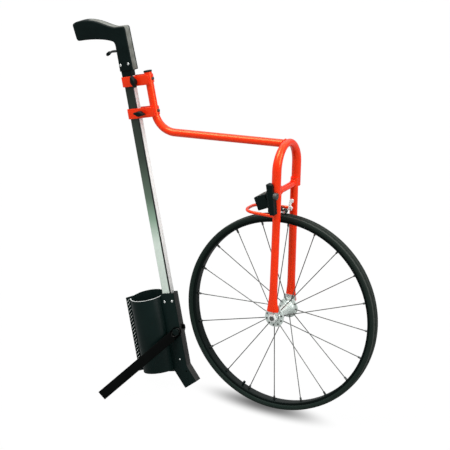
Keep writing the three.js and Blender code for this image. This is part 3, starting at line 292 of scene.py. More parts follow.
# Finishes of the record's slots
rubber = dusty_tread()
FINISHES = {
    "tyre_rubber": rubber,
    "roller_rubber": rubber,
    "rim_paint": finish_of("rim_paint", RIM_PAINT, BLACK_SHEEN, 0.4, wear=0.25, specular=0.06),
    "zinc_plate": finish_of("bright_zinc", ZINC, WHITE_ZINC, 0.24, metallic=1.0, wear=0.5, blotch=90.0),
    "spoke_steel": finish_of("spoke_steel", SPOKE, ZINC, 0.34, metallic=1.0, wear=0.12, blotch=60.0),
    "red_paint": finish_of("red_paint", RED, RED_DEEP, 0.26, wear=0.6, blotch=14.0, bump=0.05, specular=0.9,
                           gloss=RED_GLOSS),
    "black_plastic": finish_of("moulded_black", BLACK, BLACK_SHEEN, 0.42, wear=0.5, grain=1600.0, bump=0.3,
                               specular=0.1),
    "black_steel": finish_of("satin_black_paint", BLACK, BLACK_SHEEN, 0.33, wear=0.5, specular=0.12),
    "holder_plastic": finish_of("holder_black", HOLDER, HOLDER_SHEEN, 0.36, wear=0.4, blotch=12.0, specular=0.1),
    "staff_aluminium": finish_of("drawn_aluminium", ALUMINIUM, ZINC, 0.3, metallic=1.0, wear=0.4),
    "drum_white": finish_of("drum_white", DRUM, ZINC, 0.45, wear=0.2),
}
slot_of = {row["node"]: row["material_slot"] for row in frame["record"]["subparts"]}
for name, node in nodes.items():
    node.data.materials.clear()
    node.data.materials.append(FINISHES[slot_of[name]])

# Finishes of single pieces
dark_zinc = finish_of("dark_zinc", DARK_ZINC, ZINC, 0.36, metallic=1.0, wear=0.12, blotch=120.0)
bare_edge = finish_of("bare_edge", ZINC, WHITE_ZINC, 0.4, metallic=0.2, wear=0.3, blotch=120.0)
white_zinc = finish_of("white_zinc", WHITE_ZINC, ZINC, 0.35, wear=0.1, blotch=120.0)
hub_cast = finish_of("hub_cast", HUB_CAST, ZINC, 0.4, metallic=0.4, wear=0.3, blotch=90.0)
grey_moulding = finish_of("grey_moulding", GREY_MOULDING, STRIP, 0.45, wear=0.1, blotch=150.0)
leg_black = finish_of("leg_black", LEG, LEG_SHEEN, 0.34, wear=0.4, blotch=40.0, specular=0.02)
worn_web = finish_of("worn_web", WEB, WEB_WORN, 0.42, wear=0.8, blotch=60.0, specular=0.3)
window_grey = finish_of("window_frame", STRIP, ZINC, 0.4, wear=0.4, blotch=200.0)
# A painted reflection for the grip's front and top
grip_reflection_paint = finish_of("painted_reflection_strip", STRIP, ZINC, 0.5, wear=0.2, blotch=60.0)

# Sizes that the pieces share with the frame, in millimetres, and angles in degrees
FIT = 0.3
WHEEL_RADIUS = 199.0
TYRE_HALF = 12.5
RIM_INNER = 183.0
RIM_HALF = 10.0
RIM_OUTER = 188.0
SPOKES = 20
SPOKE_PHASE = -37.1
SPOKE_CIRCLE = 16.0
SPOKE_SIDE = 1.5
NIPPLE_SEAT = RIM_INNER + 2.3
SPOKE_END = NIPPLE_SEAT - 9.0
FLANGE_MIDDLE = 33.0
FLANGE_HALF = 1.5
ELBOW_OUT = 1.8
ELBOW_IN = 2.8
HUB_END = 36.0
AXLE_END = 46.5
DROPOUT_START = HUB_END + 0.6
DROPOUT_END = DROPOUT_START + 2.5
FORK_LEAN = 1.5
BLADE_RADIUS = 7.7
BLADE_TOP = (39.0, 264.0)
BLADE_FOOT = (43.0, 13.0)
FLARE_LENGTH = 52.0
BAR_LEVEL = 252
GUARD_LEVEL = 202
CROWN_LIFT = 1.6
CROWN_THINNING = 0.19
HOOP_RADIUS = 9.0
HOOP_HALF = 46.3
HOOP_TOP = 338.0
ARM_RADIUS = 7.8
ARM_SPACING = 43.5
ARM_TOP = 420.0
ARM_SLOPE = 3.7
STAFF_DEPTH = 20.0
STAFF_HALF = 7.8
STAFF_WALL = 1.5
STAFF_LOW = -60.0
STAFF_TOP = 505.0
STRAPS = {"lower": 342.0, "upper": 406.0}
STRAP_THICK = 3.0
STRAP_WIDTH = 20.0
KNOB_PLACE = 18.5
KNOB_TURNS = {"lower": 12.0, "upper": 78.0}
FLANGE_OUTER = 9.6
LEG_THICK = 4.0
LEG_WIDTH = 19.5
COUNTER_TILT = 23.3
COUNTER_MIDDLE = (-35.5, 226.5)
COUNTER_FAR = 14.0
BOX_BOTTOM = 211
BOX_TOP = 270.5
BOX_BACK_LEAN = math.tan(math.radians(9.8))
BOX_FRONT_LEAN = math.tan(math.radians(6.2))
ROLLER_LEVEL = math.sqrt((WHEEL_RADIUS + 5.3) ** 2 - 1)
DRUM_RADIUS = 9.0
DRUM_WIDTH = 10.0
HOLDER_MIDDLE = -14.0 - math.sqrt(35.5 ** 2 - 8.1 ** 2) - FIT
HOLDER_BOTTOM = -184.0
HOLDER_TOP = -26.0
GRIP_REACH = 87.5
GRIP_RISE = 22.0
TRIGGER_LEVEL = 467.0
LEVER_LEVEL = HOLDER_BOTTOM - 3.0 - 1.0
SIDES = ((-1, "near"), (1, "far"))

lean = math.radians(FORK_LEAN)
tilt = math.radians(FORK_LEAN + COUNTER_TILT)
ALONG = np.array([1.0, 0.0, 0.0])
UP = np.array([0.0, 0.0, 1.0])
FORK_X = np.array([math.cos(lean), 0.0, math.sin(lean)])
FORK_UP = np.array([-math.sin(lean), 0.0, math.cos(lean)])
STAFF_BASE = np.array(joints["knob_lower_turn"]["pos_m"]) - MM * (KNOB_PLACE * FORWARD + STRAPS["lower"] * UP_STAFF)
ON_WHEEL = (WHEEL, ALONG, UP)
ON_FORK = (WHEEL, FORK_X, FORK_UP)
ON_STAFF = (STAFF_BASE, FORWARD, UP_STAFF)
ON_COUNTER = (WHEEL + MM * (COUNTER_MIDDLE[0] * FORK_X + COUNTER_MIDDLE[1] * FORK_UP),
              np.array([math.cos(tilt), 0.0, math.sin(tilt)]), np.array([-math.sin(tilt), 0.0, math.cos(tilt)]))


# Surfaces on grids
def lattice(rows, columns, ring):
    """Quads between the neighbours of a grid whose rows are closed loops; a ring joins its last row to its first."""
    i = np.arange(rows if ring else rows - 1)[:, None]
    j = np.arange(columns)[None, :]
    low, high = i * columns, (i + 1) % rows * columns
    on = (j + 1) % columns
    return np.stack([low + j, low + on, high + on, high + j], -1).reshape(-1, 4)


def shell(grid, ring=False):
    """A closed shell from a grid of loops, turned so that its volume, a sum of triple products, is positive."""
    rows, columns = grid.shape[:2]
    points = grid.reshape(-1, 3)
    quads = lattice(rows, columns, ring)
    loop = np.arange(columns)
    caps = [] if ring else [loop[::-1], loop + (rows - 1) * columns]
    fans = [np.stack([np.full(columns - 2, cap[0]), cap[1:-1], cap[2:]], -1) for cap in caps]
    triangles = np.concatenate([quads[:, [0, 1, 2]], quads[:, [0, 2, 3]]] + fans)
    a, b, c = (points[triangles[:, k]] - points.mean(0) for k in range(3))
    if np.einsum("ij,ij->i", a, np.cross(b, c)).sum() < 0:
        quads, caps = quads[:, ::-1], [cap[::-1] for cap in caps]
    return points, quads, caps


def eased(corners, reach, steps=4):
    """A closed outline with each corner replaced by a quadratic curve between points a reach before and after it."""
    p = np.asarray(corners, float)
    reach = np.broadcast_to(np.asarray(reach, float), len(p))[:, None]
    ends = []
    for other in (np.roll(p, 1, 0), np.roll(p, -1, 0)):
        edge = other - p
        ends.append(p + edge * np.minimum(reach / np.linalg.norm(edge, axis=1, keepdims=True), 0.49))
    t = np.linspace(0, 1, steps + 1)[None, :, None]
    curve = (1 - t) ** 2 * ends[0][:, None] + 2 * t * (1 - t) * p[:, None] + t ** 2 * ends[1][:, None]
    return curve.reshape(-1, p.shape[1])


def inset(outline, depth):
    """A closed outline moved inwards: each point goes by the depth along the sum of its two edges' inward normals."""
    edge = np.roll(outline, -1, 0) - outline
    edge /= np.linalg.norm(edge, axis=1, keepdims=True)
    x, y = outline.T
    turn = np.sign(np.sum(x * np.roll(y, -1) - y * np.roll(x, -1)))
    normal = turn * np.stack([-edge[:, 1], edge[:, 0]], -1)
    before = np.roll(normal, 1, 0)
    return outline + depth * (normal + before) / (1 + np.sum(normal * before, 1, keepdims=True))


def slab(outline, low, high, roll=0.6, steps=3, axis="y"):
    """A plate with an (x, z) outline between two levels: its edges roll in by quarter circles of the given radius."""
    t = np.linspace(0, math.pi / 2, steps + 1)
    inward = roll * (1 - np.sin(t))
    level = low + roll * (1 - np.cos(t))
    insets = np.concatenate([inward, inward[::-1]])
    levels = np.concatenate([level, high + low - level[::-1]])
    rows = [inset(outline, depth) if depth > 0 else outline for depth in insets]
    return shell(turned(stacked(rows, levels)[..., [0, 2, 1]], axis))


def turned(grid, axis):
    """Points made along Y, laid along another axis by an exchange of coordinates."""
    return grid[..., {"x": [1, 0, 2], "y": [0, 1, 2], "z": [0, 2, 1]}[axis]]


def stacked(rows, levels):
    """Flat outlines laid at their levels along Z, as one grid."""
    return np.stack([np.column_stack([row, np.full(len(row), level)]) for row, level in zip(rows, levels)])


def round_steps(steps):
    """The angles of equal steps once round."""
    return np.arange(steps) * 2 * math.pi / steps


def spun(part, angle):
    """A shell turned about the Y axis."""
    points, quads, caps = part
    x, y, z = points.T
    c, s = math.cos(angle), math.sin(angle)
    return np.column_stack([x * c - z * s, y, x * s + z * c]), quads, caps


def mirrored(part):
    """A shell on the other side of the middle plane."""
    points, quads, caps = part
    return points * [1, -1, 1], quads[:, ::-1], [cap[::-1] for cap in caps]


def arc_points(radius, start, end, count):
    """Points of an arc between two angles in degrees."""
    t = np.radians(np.linspace(start, end, count))
    return radius * np.column_stack([np.cos(t), np.sin(t)])


def revolved(profile, steps=64, ring=True, axis="y", middle=(0, 0, 0), phase=0.0, lobes=0, swell=0.0):
    """Radius and place along the axis, carried round it; lobes add a cosine of the angle to the radius."""
    profile = np.asarray(profile, float)
    t = round_steps(steps) + phase
    radius = profile[:, :1] * (1 + swell * np.cos(lobes * t))[None, :]
    along = np.broadcast_to(profile[:, 1:], radius.shape)
    grid = np.stack([radius * np.cos(t), along, radius * np.sin(t)], -1)
    return shell(turned(grid, axis) + np.asarray(middle, float), ring)


def looped(loop, out, other, radius):
    """A closed tube round a loop: each point's section is a circle between its two directions."""
    t = round_steps(10)[:, None]
    return shell(loop[:, None] + radius * (out[:, None] * np.cos(t) + other[:, None] * np.sin(t)), True)


def rod(radius, low, high, axis="y", middle=(0, 0, 0), edge=0.4, steps=32):
    """A round bar with its end edges taken off."""
    profile = [(radius - edge, low), (radius, low + edge), (radius, high - edge), (radius - edge, high)]
    return revolved(profile, steps, False, axis, middle)


def threaded(radius, low, high, pitch, axis="y", middle=(0, 0, 0), steps=24):
    """A screw's thread as rings: the radius falls and rises once in each pitch."""
    count = max(int(round((high - low) / pitch)), 1)
    levels = np.linspace(low, high, 4 * count + 1)
    wave = np.tile([0.0, 0.5, 1.0, 0.5], count + 1)[:len(levels)]
    return revolved(np.column_stack([radius - 0.4 * pitch * (1 - wave), levels]), steps, False, axis, middle)


def bent(corners, radius, steps=10):
    """A path through corners, each replaced by a circular arc of the radius that touches both of its runs."""
    corners = [np.asarray(corner, float) for corner in corners]
    runs = [corners[0][None]]
    for before, corner, after in zip(corners, corners[1:], corners[2:]):
        back = (before - corner) / np.linalg.norm(before - corner)
        on = (after - corner) / np.linalg.norm(after - corner)
        half = math.acos(np.clip(back @ on, -1, 1)) / 2
        bisector = (back + on) / np.linalg.norm(back + on)
        centre = corner + bisector * radius / math.sin(half)
        first = corner + back * radius / math.tan(half) - centre
        last = corner + on * radius / math.tan(half) - centre
        t = np.linspace(0, 1, steps + 1)[:, None]
        turn = math.pi - 2 * half
        runs.append(centre + (first * np.sin((1 - t) * turn) + last * np.sin(t * turn)) / math.sin(turn))
    runs.append(corners[-1][None])
    return np.concatenate(runs)


def swept(path, section, across):
    """A section carried along a flat path: its first number goes along across x run, its second along across."""
    run = np.gradient(path, axis=0)
    run /= np.linalg.norm(run, axis=1, keepdims=True)
    across = np.asarray(across, float)
    out = np.cross(across, run)
    out /= np.linalg.norm(out, axis=1, keepdims=True)
    section = np.broadcast_to(section, (len(path),) + np.shape(section)[-2:])
    grid = path[:, None] + section[..., :1] * out[:, None] + section[..., 1:] * across
    return shell(grid)


def circle(radius, sides=32):
    """Points of a circle."""
    t = round_steps(sides)
    return np.column_stack([radius * np.cos(t), radius * np.sin(t)])


def oblong(width, height, corner, steps=4):
    """Corners of a rectangle with rounded corners."""
    w, h = width / 2, height / 2
    return eased([(-w, -h), (w, -h), (w, h), (-w, h)], corner, steps)


def capped(path, section, across, edge):
    """A sweep whose two ends are drawn in over the edge's length."""
    path = np.asarray(path, float)
    start = path[0] + (path[1] - path[0]) * edge / np.linalg.norm(path[1] - path[0])
    end = path[-1] + (path[-2] - path[-1]) * edge / np.linalg.norm(path[-2] - path[-1])
    whole = np.concatenate([path[:1], start[None], path[1:-1], end[None], path[-1:]])
    section = np.broadcast_to(section, (len(whole),) + np.shape(section)[-2:]).copy()
    size = np.abs(section[0]).max()
    section[[0, -1]] *= (size - edge) / size
    return swept(whole, section, across)


def placed(points, place):
    """Points in a place's own millimetres as points of the shared frame: origin, first axis, side and third axis."""
    origin, first, third = place
    return origin + MM * (points[:, :1] * first + points[:, 1:2] * SIDE + points[:, 2:] * third)


def piece(name, shells, place, body, replaced=(), slot=None, finish=None, sharp=33.0):
    """A named piece of one or more shells in its place, smooth but for its sharp edges, riding on a body."""
    base = 0
    points, faces = [], []
    for part, quads, caps in shells:
        points.append(placed(part, place))
        faces += (quads + base).tolist() + [(cap + base).tolist() for cap in caps]
        base += len(part)
    mesh = bpy.data.meshes.new(name)
    mesh.from_pydata(np.concatenate(points).tolist(), [], faces)
    return finished(name, mesh, body, replaced, slot, finish, sharp)


def finished(name, mesh, body, replaced, slot, finish, sharp=33.0):
    """Shades a mesh, gives it its finish and hangs its object on a body."""
    mesh.shade_smooth()
    mesh.set_sharp_from_angle(angle=math.radians(sharp))
    slot = slot or slot_of[replaced[0]]
    mesh.materials.append(finish or FINISHES[slot])
    made = bpy.data.objects.new(name, mesh)
    bpy.context.scene.collection.objects.link(made)
    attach(made, body)
    if replaced:
        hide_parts(*replaced)
    return made


# Wheel
def tyre():
    """A tyre: an outline of radius over width, its tread pressed in by slots that repeat round the wheel."""
    t = np.linspace(0, 1, 13)
    wall = np.column_stack([RIM_OUTER + 1.2 + 8.2 * t, RIM_HALF + 2.5 * np.sin(math.pi * (0.12 + 0.66 * t))])
    wall[:, 1] = np.minimum(wall[:, 1], TYRE_HALF - 0.05)
    shoulder = [(-1.1, 8.8), (-0.7, 8.0), (-1.5, 7.5), (-1.5, 6.6), (-0.35, 6.2), (-0.1, 4.6), (-1.3, 4.1), (-1.3, 3.1),
                (0, 2.6), (0, 1.3), (-1.2, 0.9)]
    bead = [(-0.6, 7.9), (0.4, 7.9), (0.4, RIM_HALF)]
    right = np.concatenate([np.add(bead, [RIM_OUTER, 0]), wall, np.add(shoulder, [WHEEL_RADIUS, 0])])
    outline = np.concatenate([right, right[::-1] * [1, -1]])
    angle = round_steps(480)
    slot = (np.arange(480) % 6 == 0)[None, :]
    out = np.abs(outline[:, 1])[:, None]
    band = (out > 6.0) & (out < 10.6) & (outline[:, :1] > WHEEL_RADIUS - 5)
    radius = outline[:, :1] - 0.9 * (slot & band)
    along = np.broadcast_to(outline[:, 1:], radius.shape)
    grid = np.stack([radius * np.cos(angle), along, radius * np.sin(angle)], -1)
    return shell(grid, True)


def spoke_side(k):
    """The side of spoke k: alternate spokes go to the near and the far flange."""
    return -1 if k % 2 else 1


def spoke_angle(k):
    """The place of spoke k round the wheel."""
    return math.radians(SPOKE_PHASE + k * 360 / SPOKES)


def spoke(k):
    """Spoke k: head, elbow, thinner middle and nipple as one tube of changing radius along a flat path."""
    side = spoke_side(k)
    outside, inside, end = side * (FLANGE_MIDDLE + ELBOW_OUT), side * (FLANGE_MIDDLE - ELBOW_IN), side * SPOKE_SIDE
    path = bent([(SPOKE_CIRCLE, outside, 0), (SPOKE_CIRCLE, inside, 0), (SPOKE_END, end, 0)], 1.6, 6)
    last = path[-1]
    run = last - path[-2]
    run /= np.linalg.norm(run)
    nipple = last + run * np.array([0.0, 0.3, 7.0, 7.3])[:, None]
    line = path[-2] + (last - path[-2]) * np.array([0.06, 0.12, 0.88, 0.94])[:, None]
    head = [[SPOKE_CIRCLE, outside + side * 1.1, 0.0]]
    whole = np.concatenate([head, path[:1], path[:-1], line, last[None], nipple,
                            [[NIPPLE_SEAT + 0.2, end, 0], [NIPPLE_SEAT + 1.4, end, 0]]])
    whole[1] += [0, side * 0.1, 0]
    radii = np.concatenate([[1.5, 1.9], np.full(len(path) - 1, 1.0), [1.0, 0.9, 0.9, 1.0], [1.0],
                            [1.0, 1.85, 1.85, 1.7], [1.7, 1.7]])
    return spun(swept(whole, circle(1.0, 10)[None] * radii[:, None, None], (0, 0, 1)), spoke_angle(k))


def wheel_pieces():
    """Tyre, rim, hub, valve and spokes."""
    piece("tread_and_walls", [tyre()], ON_WHEEL, "wheel", ["tyre"], sharp=28)
    rim = eased([(RIM_INNER, -7.6), (RIM_INNER + 0.8, -RIM_HALF), (RIM_OUTER, -RIM_HALF), (RIM_OUTER, -8.4),
                 (RIM_INNER + 2, -8.0), (RIM_INNER + 2, 8.0), (RIM_OUTER, 8.4), (RIM_OUTER, RIM_HALF),
                 (RIM_INNER + 0.8, RIM_HALF), (RIM_INNER, 7.6)], [1.2, 0.9, 0.5, 0.5, 1, 1, 0.5, 0.5, 0.9, 1.2], 3)
    eyelets, sleeves = [], []
    for k in range(SPOKES):
        end = spoke_side(k) * SPOKE_SIDE
        ring = [(2.2, RIM_INNER - 0.5), (3.0, RIM_INNER - 0.4), (3.2, RIM_INNER + 0.3), (2.2, RIM_INNER + 0.3)]
        eyelets.append(spun(revolved(ring, 16, True, "x", (0, end, 0)), spoke_angle(k)))
        slope = spoke_side(k) * (FLANGE_MIDDLE - ELBOW_IN - SPOKE_SIDE) / (SPOKE_END - SPOKE_CIRCLE)
        line = np.array([(RIM_INNER + x, end - slope * min(x + 6.7, 0.0), 0.0) for x in (-7.2, -6.9, -0.6, 0.2)])
        section = circle(1.0, 14)[None] * np.array([1.5, 2.0, 2.0, 2.0])[:, None, None]
        sleeves.append(spun(swept(line, section, (0, 0, 1)), spoke_angle(k)))
    piece("rim_channel", [revolved(rim, 240)] + eyelets, ON_WHEEL, "wheel", ["rim"])
    piece("nipple_sleeves", sleeves, ON_WHEEL, "wheel", slot="spoke_steel", finish=dark_zinc)
    inner, outer = FLANGE_MIDDLE - FLANGE_HALF, FLANGE_MIDDLE + FLANGE_HALF
    half = np.array([(5.6, HUB_END - 6.3), (9.3, HUB_END - 6.3), (9.3, HUB_END - 0.8), (10.4, HUB_END),
                     (12.0, HUB_END), (12.5, HUB_END - 0.6), (12.7, outer + 0.4), (13.2, outer), (18.9, outer),
                     (19.7, outer - 0.5), (20.0, FLANGE_MIDDLE), (19.7, inner + 0.5), (18.9, inner), (13.5, inner),
                     (12.2, inner - 1.2), (11.0, inner - 4.0), (10.0, inner - 7.5), (9.6, inner - 14.0)])
    barrel = revolved(np.concatenate([half, half[::-1] * [1, -1]]), 96)
    piece("hub_barrel", [barrel], ON_WHEEL, "wheel", ["hub_shell"], finish=hub_cast)
    for k in range(SPOKES):
        piece(f"wire_{k + 1:02d}", [spoke(k)], ON_WHEEL, "wheel", [f"spoke_{k + 1:02d}"])
    cap = [(1.6, RIM_INNER - 9.0), (2.3, RIM_INNER - 8.4), (2.6, RIM_INNER - 7.6), (2.6, RIM_INNER - 4.8),
           (2.3, RIM_INNER - 4.5)]
    stem = [rod(2.08, RIM_INNER - 4.5, RIM_INNER + 1.9, "x", edge=0.1, steps=24),
            threaded(2.06, RIM_INNER - 4.4, RIM_INNER - 0.2, 0.7, "x"),
            revolved(cap, 24, False, "x", lobes=12, swell=0.03)]
    piece("valve", [spun(part, spoke_angle(15.75)) for part in stem], ON_WHEEL, "wheel", ["valve_stem"])


def axle_pieces():
    """Axle with threaded ends, washers, nuts, bearing cones and dropouts."""
    axle = [rod(4.4, -AXLE_END + 0.2, AXLE_END - 0.2), threaded(4.9, -AXLE_END, -DROPOUT_START, 1.0, steps=32),
            threaded(4.9, DROPOUT_START, AXLE_END, 1.0, steps=32), rod(4.95, -DROPOUT_START, DROPOUT_START)]
    piece("axle_rod", axle, ON_WHEEL, "frame", ["axle"])
    washer = np.array([(5.3, 0), (9.3, 0), (9.5, 0.3), (9.4, 1.2), (5.3, 1.4)]) + [0, DROPOUT_END + FIT]
    nut = np.array([(5.3, 1.3), (8.2, 1.3), (8.5, 1.9), (8.5, 5.1), (7.9, 6.0), (5.3, 6.0)]) + [0, DROPOUT_END + FIT]
    cone = np.array([(5.3, -5.8), (8.9, -5.8), (8.9, -1.2), (8.2, -0.7), (6.4, -0.4), (5.3, -0.4)]) + [0, HUB_END]
    left = np.concatenate([[(-12.3, 25.9), (-12.4, 13.5)], arc_points(10, 188, 262, 9), [(-5.1, -8.6)]])
    outline = np.concatenate([left, arc_points(5.3, 180, 0, 13), left[::-1] * [-1, 1]])
    for side, word in SIDES:
        piece(f"axle_washer_{word}", [revolved(washer * [1, side], 48)], ON_WHEEL, "frame", slot="zinc_plate",
              finish=hub_cast)
        piece(f"axle_nut_shaped_{word}", [revolved(nut * [1, side], 6)], ON_WHEEL, "frame", [f"axle_nut_{word}"],
              finish=bare_edge)
        piece(f"bearing_cone_{word}", [revolved(cone * [1, side], 48)], ON_WHEEL, "frame", [f"bearing_{word}"],
              finish=dark_zinc)
        plate = slab(outline, *sorted((side * DROPOUT_START, side * DROPOUT_END)), 0.35, 2)
        piece(f"dropout_plate_{word}", [plate], ON_FORK, "frame", [f"dropout_{word}"])


# Fork
def weld(middle, radius, axis, thick=1.3, steps=72, ripples=26):
    """A bead of weld: a ring whose thickness swells and shrinks along its way, like laid coins."""
    t = round_steps(steps)
    bead = thick * (1 + 0.16 * np.cos(ripples * t))[:, None, None]
    out = turned(np.stack([np.cos(t), np.zeros(steps), np.sin(t)], -1), axis)
    along = turned(np.tile([0.0, 1.0, 0.0], (steps, 1)), axis)
    return looped(radius * out + np.asarray(middle, float), out, along, bead)


def blade(side):
    """A fork blade: a round section that widens and flattens over its lower part, along a straight line."""
    share = np.concatenate([np.linspace(0, 0.79, 14), np.linspace(0.80, 1, 24)])
    y, z = (top + (foot - top) * share for top, foot in zip(BLADE_TOP, BLADE_FOOT))
    flare = np.clip((BLADE_FOOT[1] + FLARE_LENGTH - z) / FLARE_LENGTH, 0, 1)
    wide = BLADE_RADIUS + (12.5 - BLADE_RADIUS) * flare ** 2
    thin = BLADE_RADIUS + (3.5 - BLADE_RADIUS) * flare
    path = np.column_stack([np.zeros(len(z)), side * y, z])
    section = circle(1.0, 40)[None] * np.stack([thin, wide], -1)[:, None, :]
    section[-1] *= 0.93
    return swept(path, section, (1, 0, 0))


def fork_pieces():
    """Hoop, blades, crossbar and wire guard with their welds."""
    for side, word in SIDES:
        piece(f"blade_{word}", [blade(side)], ON_FORK, "frame", [f"fork_blade_{word}"])
    corners = [(0, -HOOP_HALF, 246), (0, -HOOP_HALF, HOOP_TOP), (0, HOOP_HALF, HOOP_TOP), (0, HOOP_HALF, 246)]
    arch = bent(corners, HOOP_HALF * 0.98, 28)
    rise = np.clip((arch[:, 2] - arch[:, 2].max() + 45.0) / 45.0, 0, 1) ** 2
    arch[:, 2] += CROWN_LIFT * rise
    thin = np.concatenate([[1.0], 1.0 - CROWN_THINNING * rise, [1.0]])
    tube = capped(arch, circle(HOOP_RADIUS, 40) * thin[:, None, None], (1, 0, 0), 0.8)
    piece("hoop_tube", [tube], ON_FORK, "frame", ["fork_hoop"])
    bar = [rod(6.0, -38, 38, middle=(0, 0, BAR_LEVEL), steps=36)]
    bar += [weld((0, side * 31.4, BAR_LEVEL), 6.3, "y") for side in (-1, 1)]
    piece("cross_tube", bar, ON_FORK, "frame", ["fork_crossbar"])
    near = [(0, -37.5, GUARD_LEVEL), (-33.75, -34, GUARD_LEVEL), (-75, -31, GUARD_LEVEL)]
    far = [(x, -y, z) for x, y, z in reversed(near)]
    path = np.concatenate([near[:1], bent(near[1:] + far[:-1], 26, 16), far[-1:]])
    guard = [swept(path, circle(3.0, 20), (0, 0, 1))]
    guard += [weld((-3.4, side * 37.5, GUARD_LEVEL), 3.3, "x", 1.0, 48, 14) for side in (-1, 1)]
    piece("guard_wire", guard, ON_FORK, "frame", ["counter_guard"])


# Counter and its drive
def screw(middle, radius, side, height):
    """A domed screw head: radius over height falls off as a quarter circle, with a sunk cross in its middle."""
    t = np.linspace(0, math.pi / 2, 6)
    ring = np.column_stack([radius * np.cos(t) ** 0.7, height * np.sin(t)])
    ring[-1, 0] = radius * 0.32
    profile = np.concatenate([[(radius, -0.4)], ring, [(radius * 0.3, height * 0.45)]]) * [1, side]
    return revolved(profile, 24, False, "y", middle, 0.4, 4, 0.03)


def box_back(z):
    """How far forward the gear case's box begins at a level."""
    return -4.3 - (z - BOX_BOTTOM) * BOX_BACK_LEAN


def box_front(z):
    """How far forward the gear case's box ends at a level."""
    return 5.0 - (z - BOX_BOTTOM) * BOX_FRONT_LEAN


def gear_case_pieces():
    """The gear case: a leaning slab inside the blade, a box in two halves outside it, bridge, nose and boss."""
    low, high = 39 * BOX_BACK_LEAN, 42 * BOX_BACK_LEAN
    case = [(-8.0, 208), (-8.0 - low, 247), (-11.0 - high, 250), (-15.6 - high, 250), (-18.6 - low, 247), (-18.6, 208)]
    box = eased([(box_front(BOX_BOTTOM), BOX_BOTTOM), (box_front(BOX_TOP), BOX_TOP), (box_back(BOX_TOP), BOX_TOP),
                 (box_back(BOX_BOTTOM), BOX_BOTTOM)], 1.6, 4)
    bridge_back = box_back(236) + 2
    mouldings = [
        slab(eased(case, 1.6, 3), -38, -12, 1.2, 4),
        slab(box, -64, -55.8, 1.3, 4),
        slab(box, -55.2, -47.9, 0.9, 4),
        slab(inset(box, 0.5), -56.5, -54.5, 0.1, 1),
        slab(eased([(-12, 214), (bridge_back, 214), (bridge_back, 236), (-13, 236)], 1.5, 3), -55, -36, 1.0),
        slab(eased([(-16, 207), (-2, 207), (-2, 216), (-17, 216)], 1.5, 3), -16, -7, 0.8),
    ]
    piece("gear_case_mouldings", mouldings, ON_FORK, "frame", ["gear_case"])
    boss = [(6.9, 0.6), (6.9, 6.4), (6.7, 7.2), (6.1, 7.8), (4.7, 7.8), (4.5, 7.2), (3.4, 7.1), (3.2, 7.7)]
    piece("drive_boss", [revolved(boss, 48, False, "x", (0, -56.5, 248))], ON_FORK, "frame", slot="black_plastic",
          finish=grey_moulding)
    heads = [screw(((box_back(z) + box_front(z)) / 2, -63.7, z), 2.0, -1, 0.3) for z in (216, 265)]
    piece("gear_case_screws", heads, ON_FORK, "frame", slot="zinc_plate", finish=dark_zinc)


def roller_pieces():
    """The drive roller on its shaft, and the stay that holds it."""
    middle = (-1, 0, ROLLER_LEVEL)
    tread = [(5.0, -4.1), (5.0, -1.5), (4.5, -1.1), (5.0, -0.7), (5.0, 0.7), (4.5, 1.1), (5.0, 1.5), (5.0, 4.1),
             (4.5, 4.5), (2.0, 4.5), (2.0, -4.5), (4.5, -4.5)]
    piece("roller_tread", [revolved(tread, 48, middle=middle)], ON_FORK, "roller", ["drive_roller"])
    shaft = [revolved([(2.9, -6.5), (3.6, -6.1), (3.6, -4.6), (3.6, -4.4)], 32, False, middle=middle),
             rod(1.95, -6.0, 30.0, middle=middle, steps=24),
             revolved([(2.1, 4.4), (3.6, 4.4), (3.6, 6.1), (2.9, 6.5), (2.1, 6.5)], 32, middle=middle)]
    piece("roller_shaft", shaft, ON_FORK, "roller", slot="zinc_plate")
    strip = eased([(-6.0, 199), (1.5, 199), (-1.5, 209), (1.5, 214.5), (4.2, 216), (4.2, 222), (-3.5, 222), (-5.2, 214),
                   (-6.2, 206)], [1.5, 1.5, 2.0, 2.0, 1.0, 1.5, 1.5, 2.0, 2.0], 4)
    collar = revolved([(2.3, 25.4), (3.9, 25.4), (4.1, 25.8), (4.1, 28.2), (2.3, 28.2)], 32, middle=middle)
    piece("stay_strip", [slab(strip, 28.02, 29.82, 0.4), collar], ON_FORK, "frame", ["roller_stay"],
          finish=white_zinc)


def housing_pieces():
    """The counter's housing: two ends and a middle that is open over the drums, a framed window and a foot."""
    square = oblong(24, 27, 2.0, 4) + [0, -1.5]
    edge = [(-4.5, 12), (-11, 12), (-12, 11), (-12, -14), (-11, -15), (11, -15), (12, -14), (12, 11), (11, 12),
            (4.5, 12)]
    middle = np.concatenate([edge, arc_points(9.6, 62, -242, 25)])
    body = [slab(square, -36.0, -30.4, 0.9, 3), slab(square, 0.6, COUNTER_FAR, 0.9, 3),
            slab(middle, -30.6, 0.8, 0.02, 1)]
    window = []
    for left, right, low, high in ((-6.4, 6.4, -31.3, -30.0), (-6.4, 6.4, 0.2, 1.5), (-6.6, -5.0, -31.3, 1.5),
                                   (5.0, 6.6, -31.3, 1.5)):
        bar = eased([(left, 11.6), (right, 11.6), (right, 13.0), (left, 13.0)], 0.3, 2)
        window.append(slab(bar, low, high, 0.3, 2))
    foot = slab(eased([(-31, 222.5), (-21.5, 222.5), (-21.5, 230.5), (-31, 230.5)], 1, 2), -35, -17, 0.5)
    piece("counter_housing_body", body, ON_COUNTER, "frame", ["counter_housing"])
    piece("counter_window_frame", window, ON_COUNTER, "frame", slot="zinc_plate", finish=window_grey)
    piece("counter_foot", [foot], ON_FORK, "frame", slot="black_plastic")


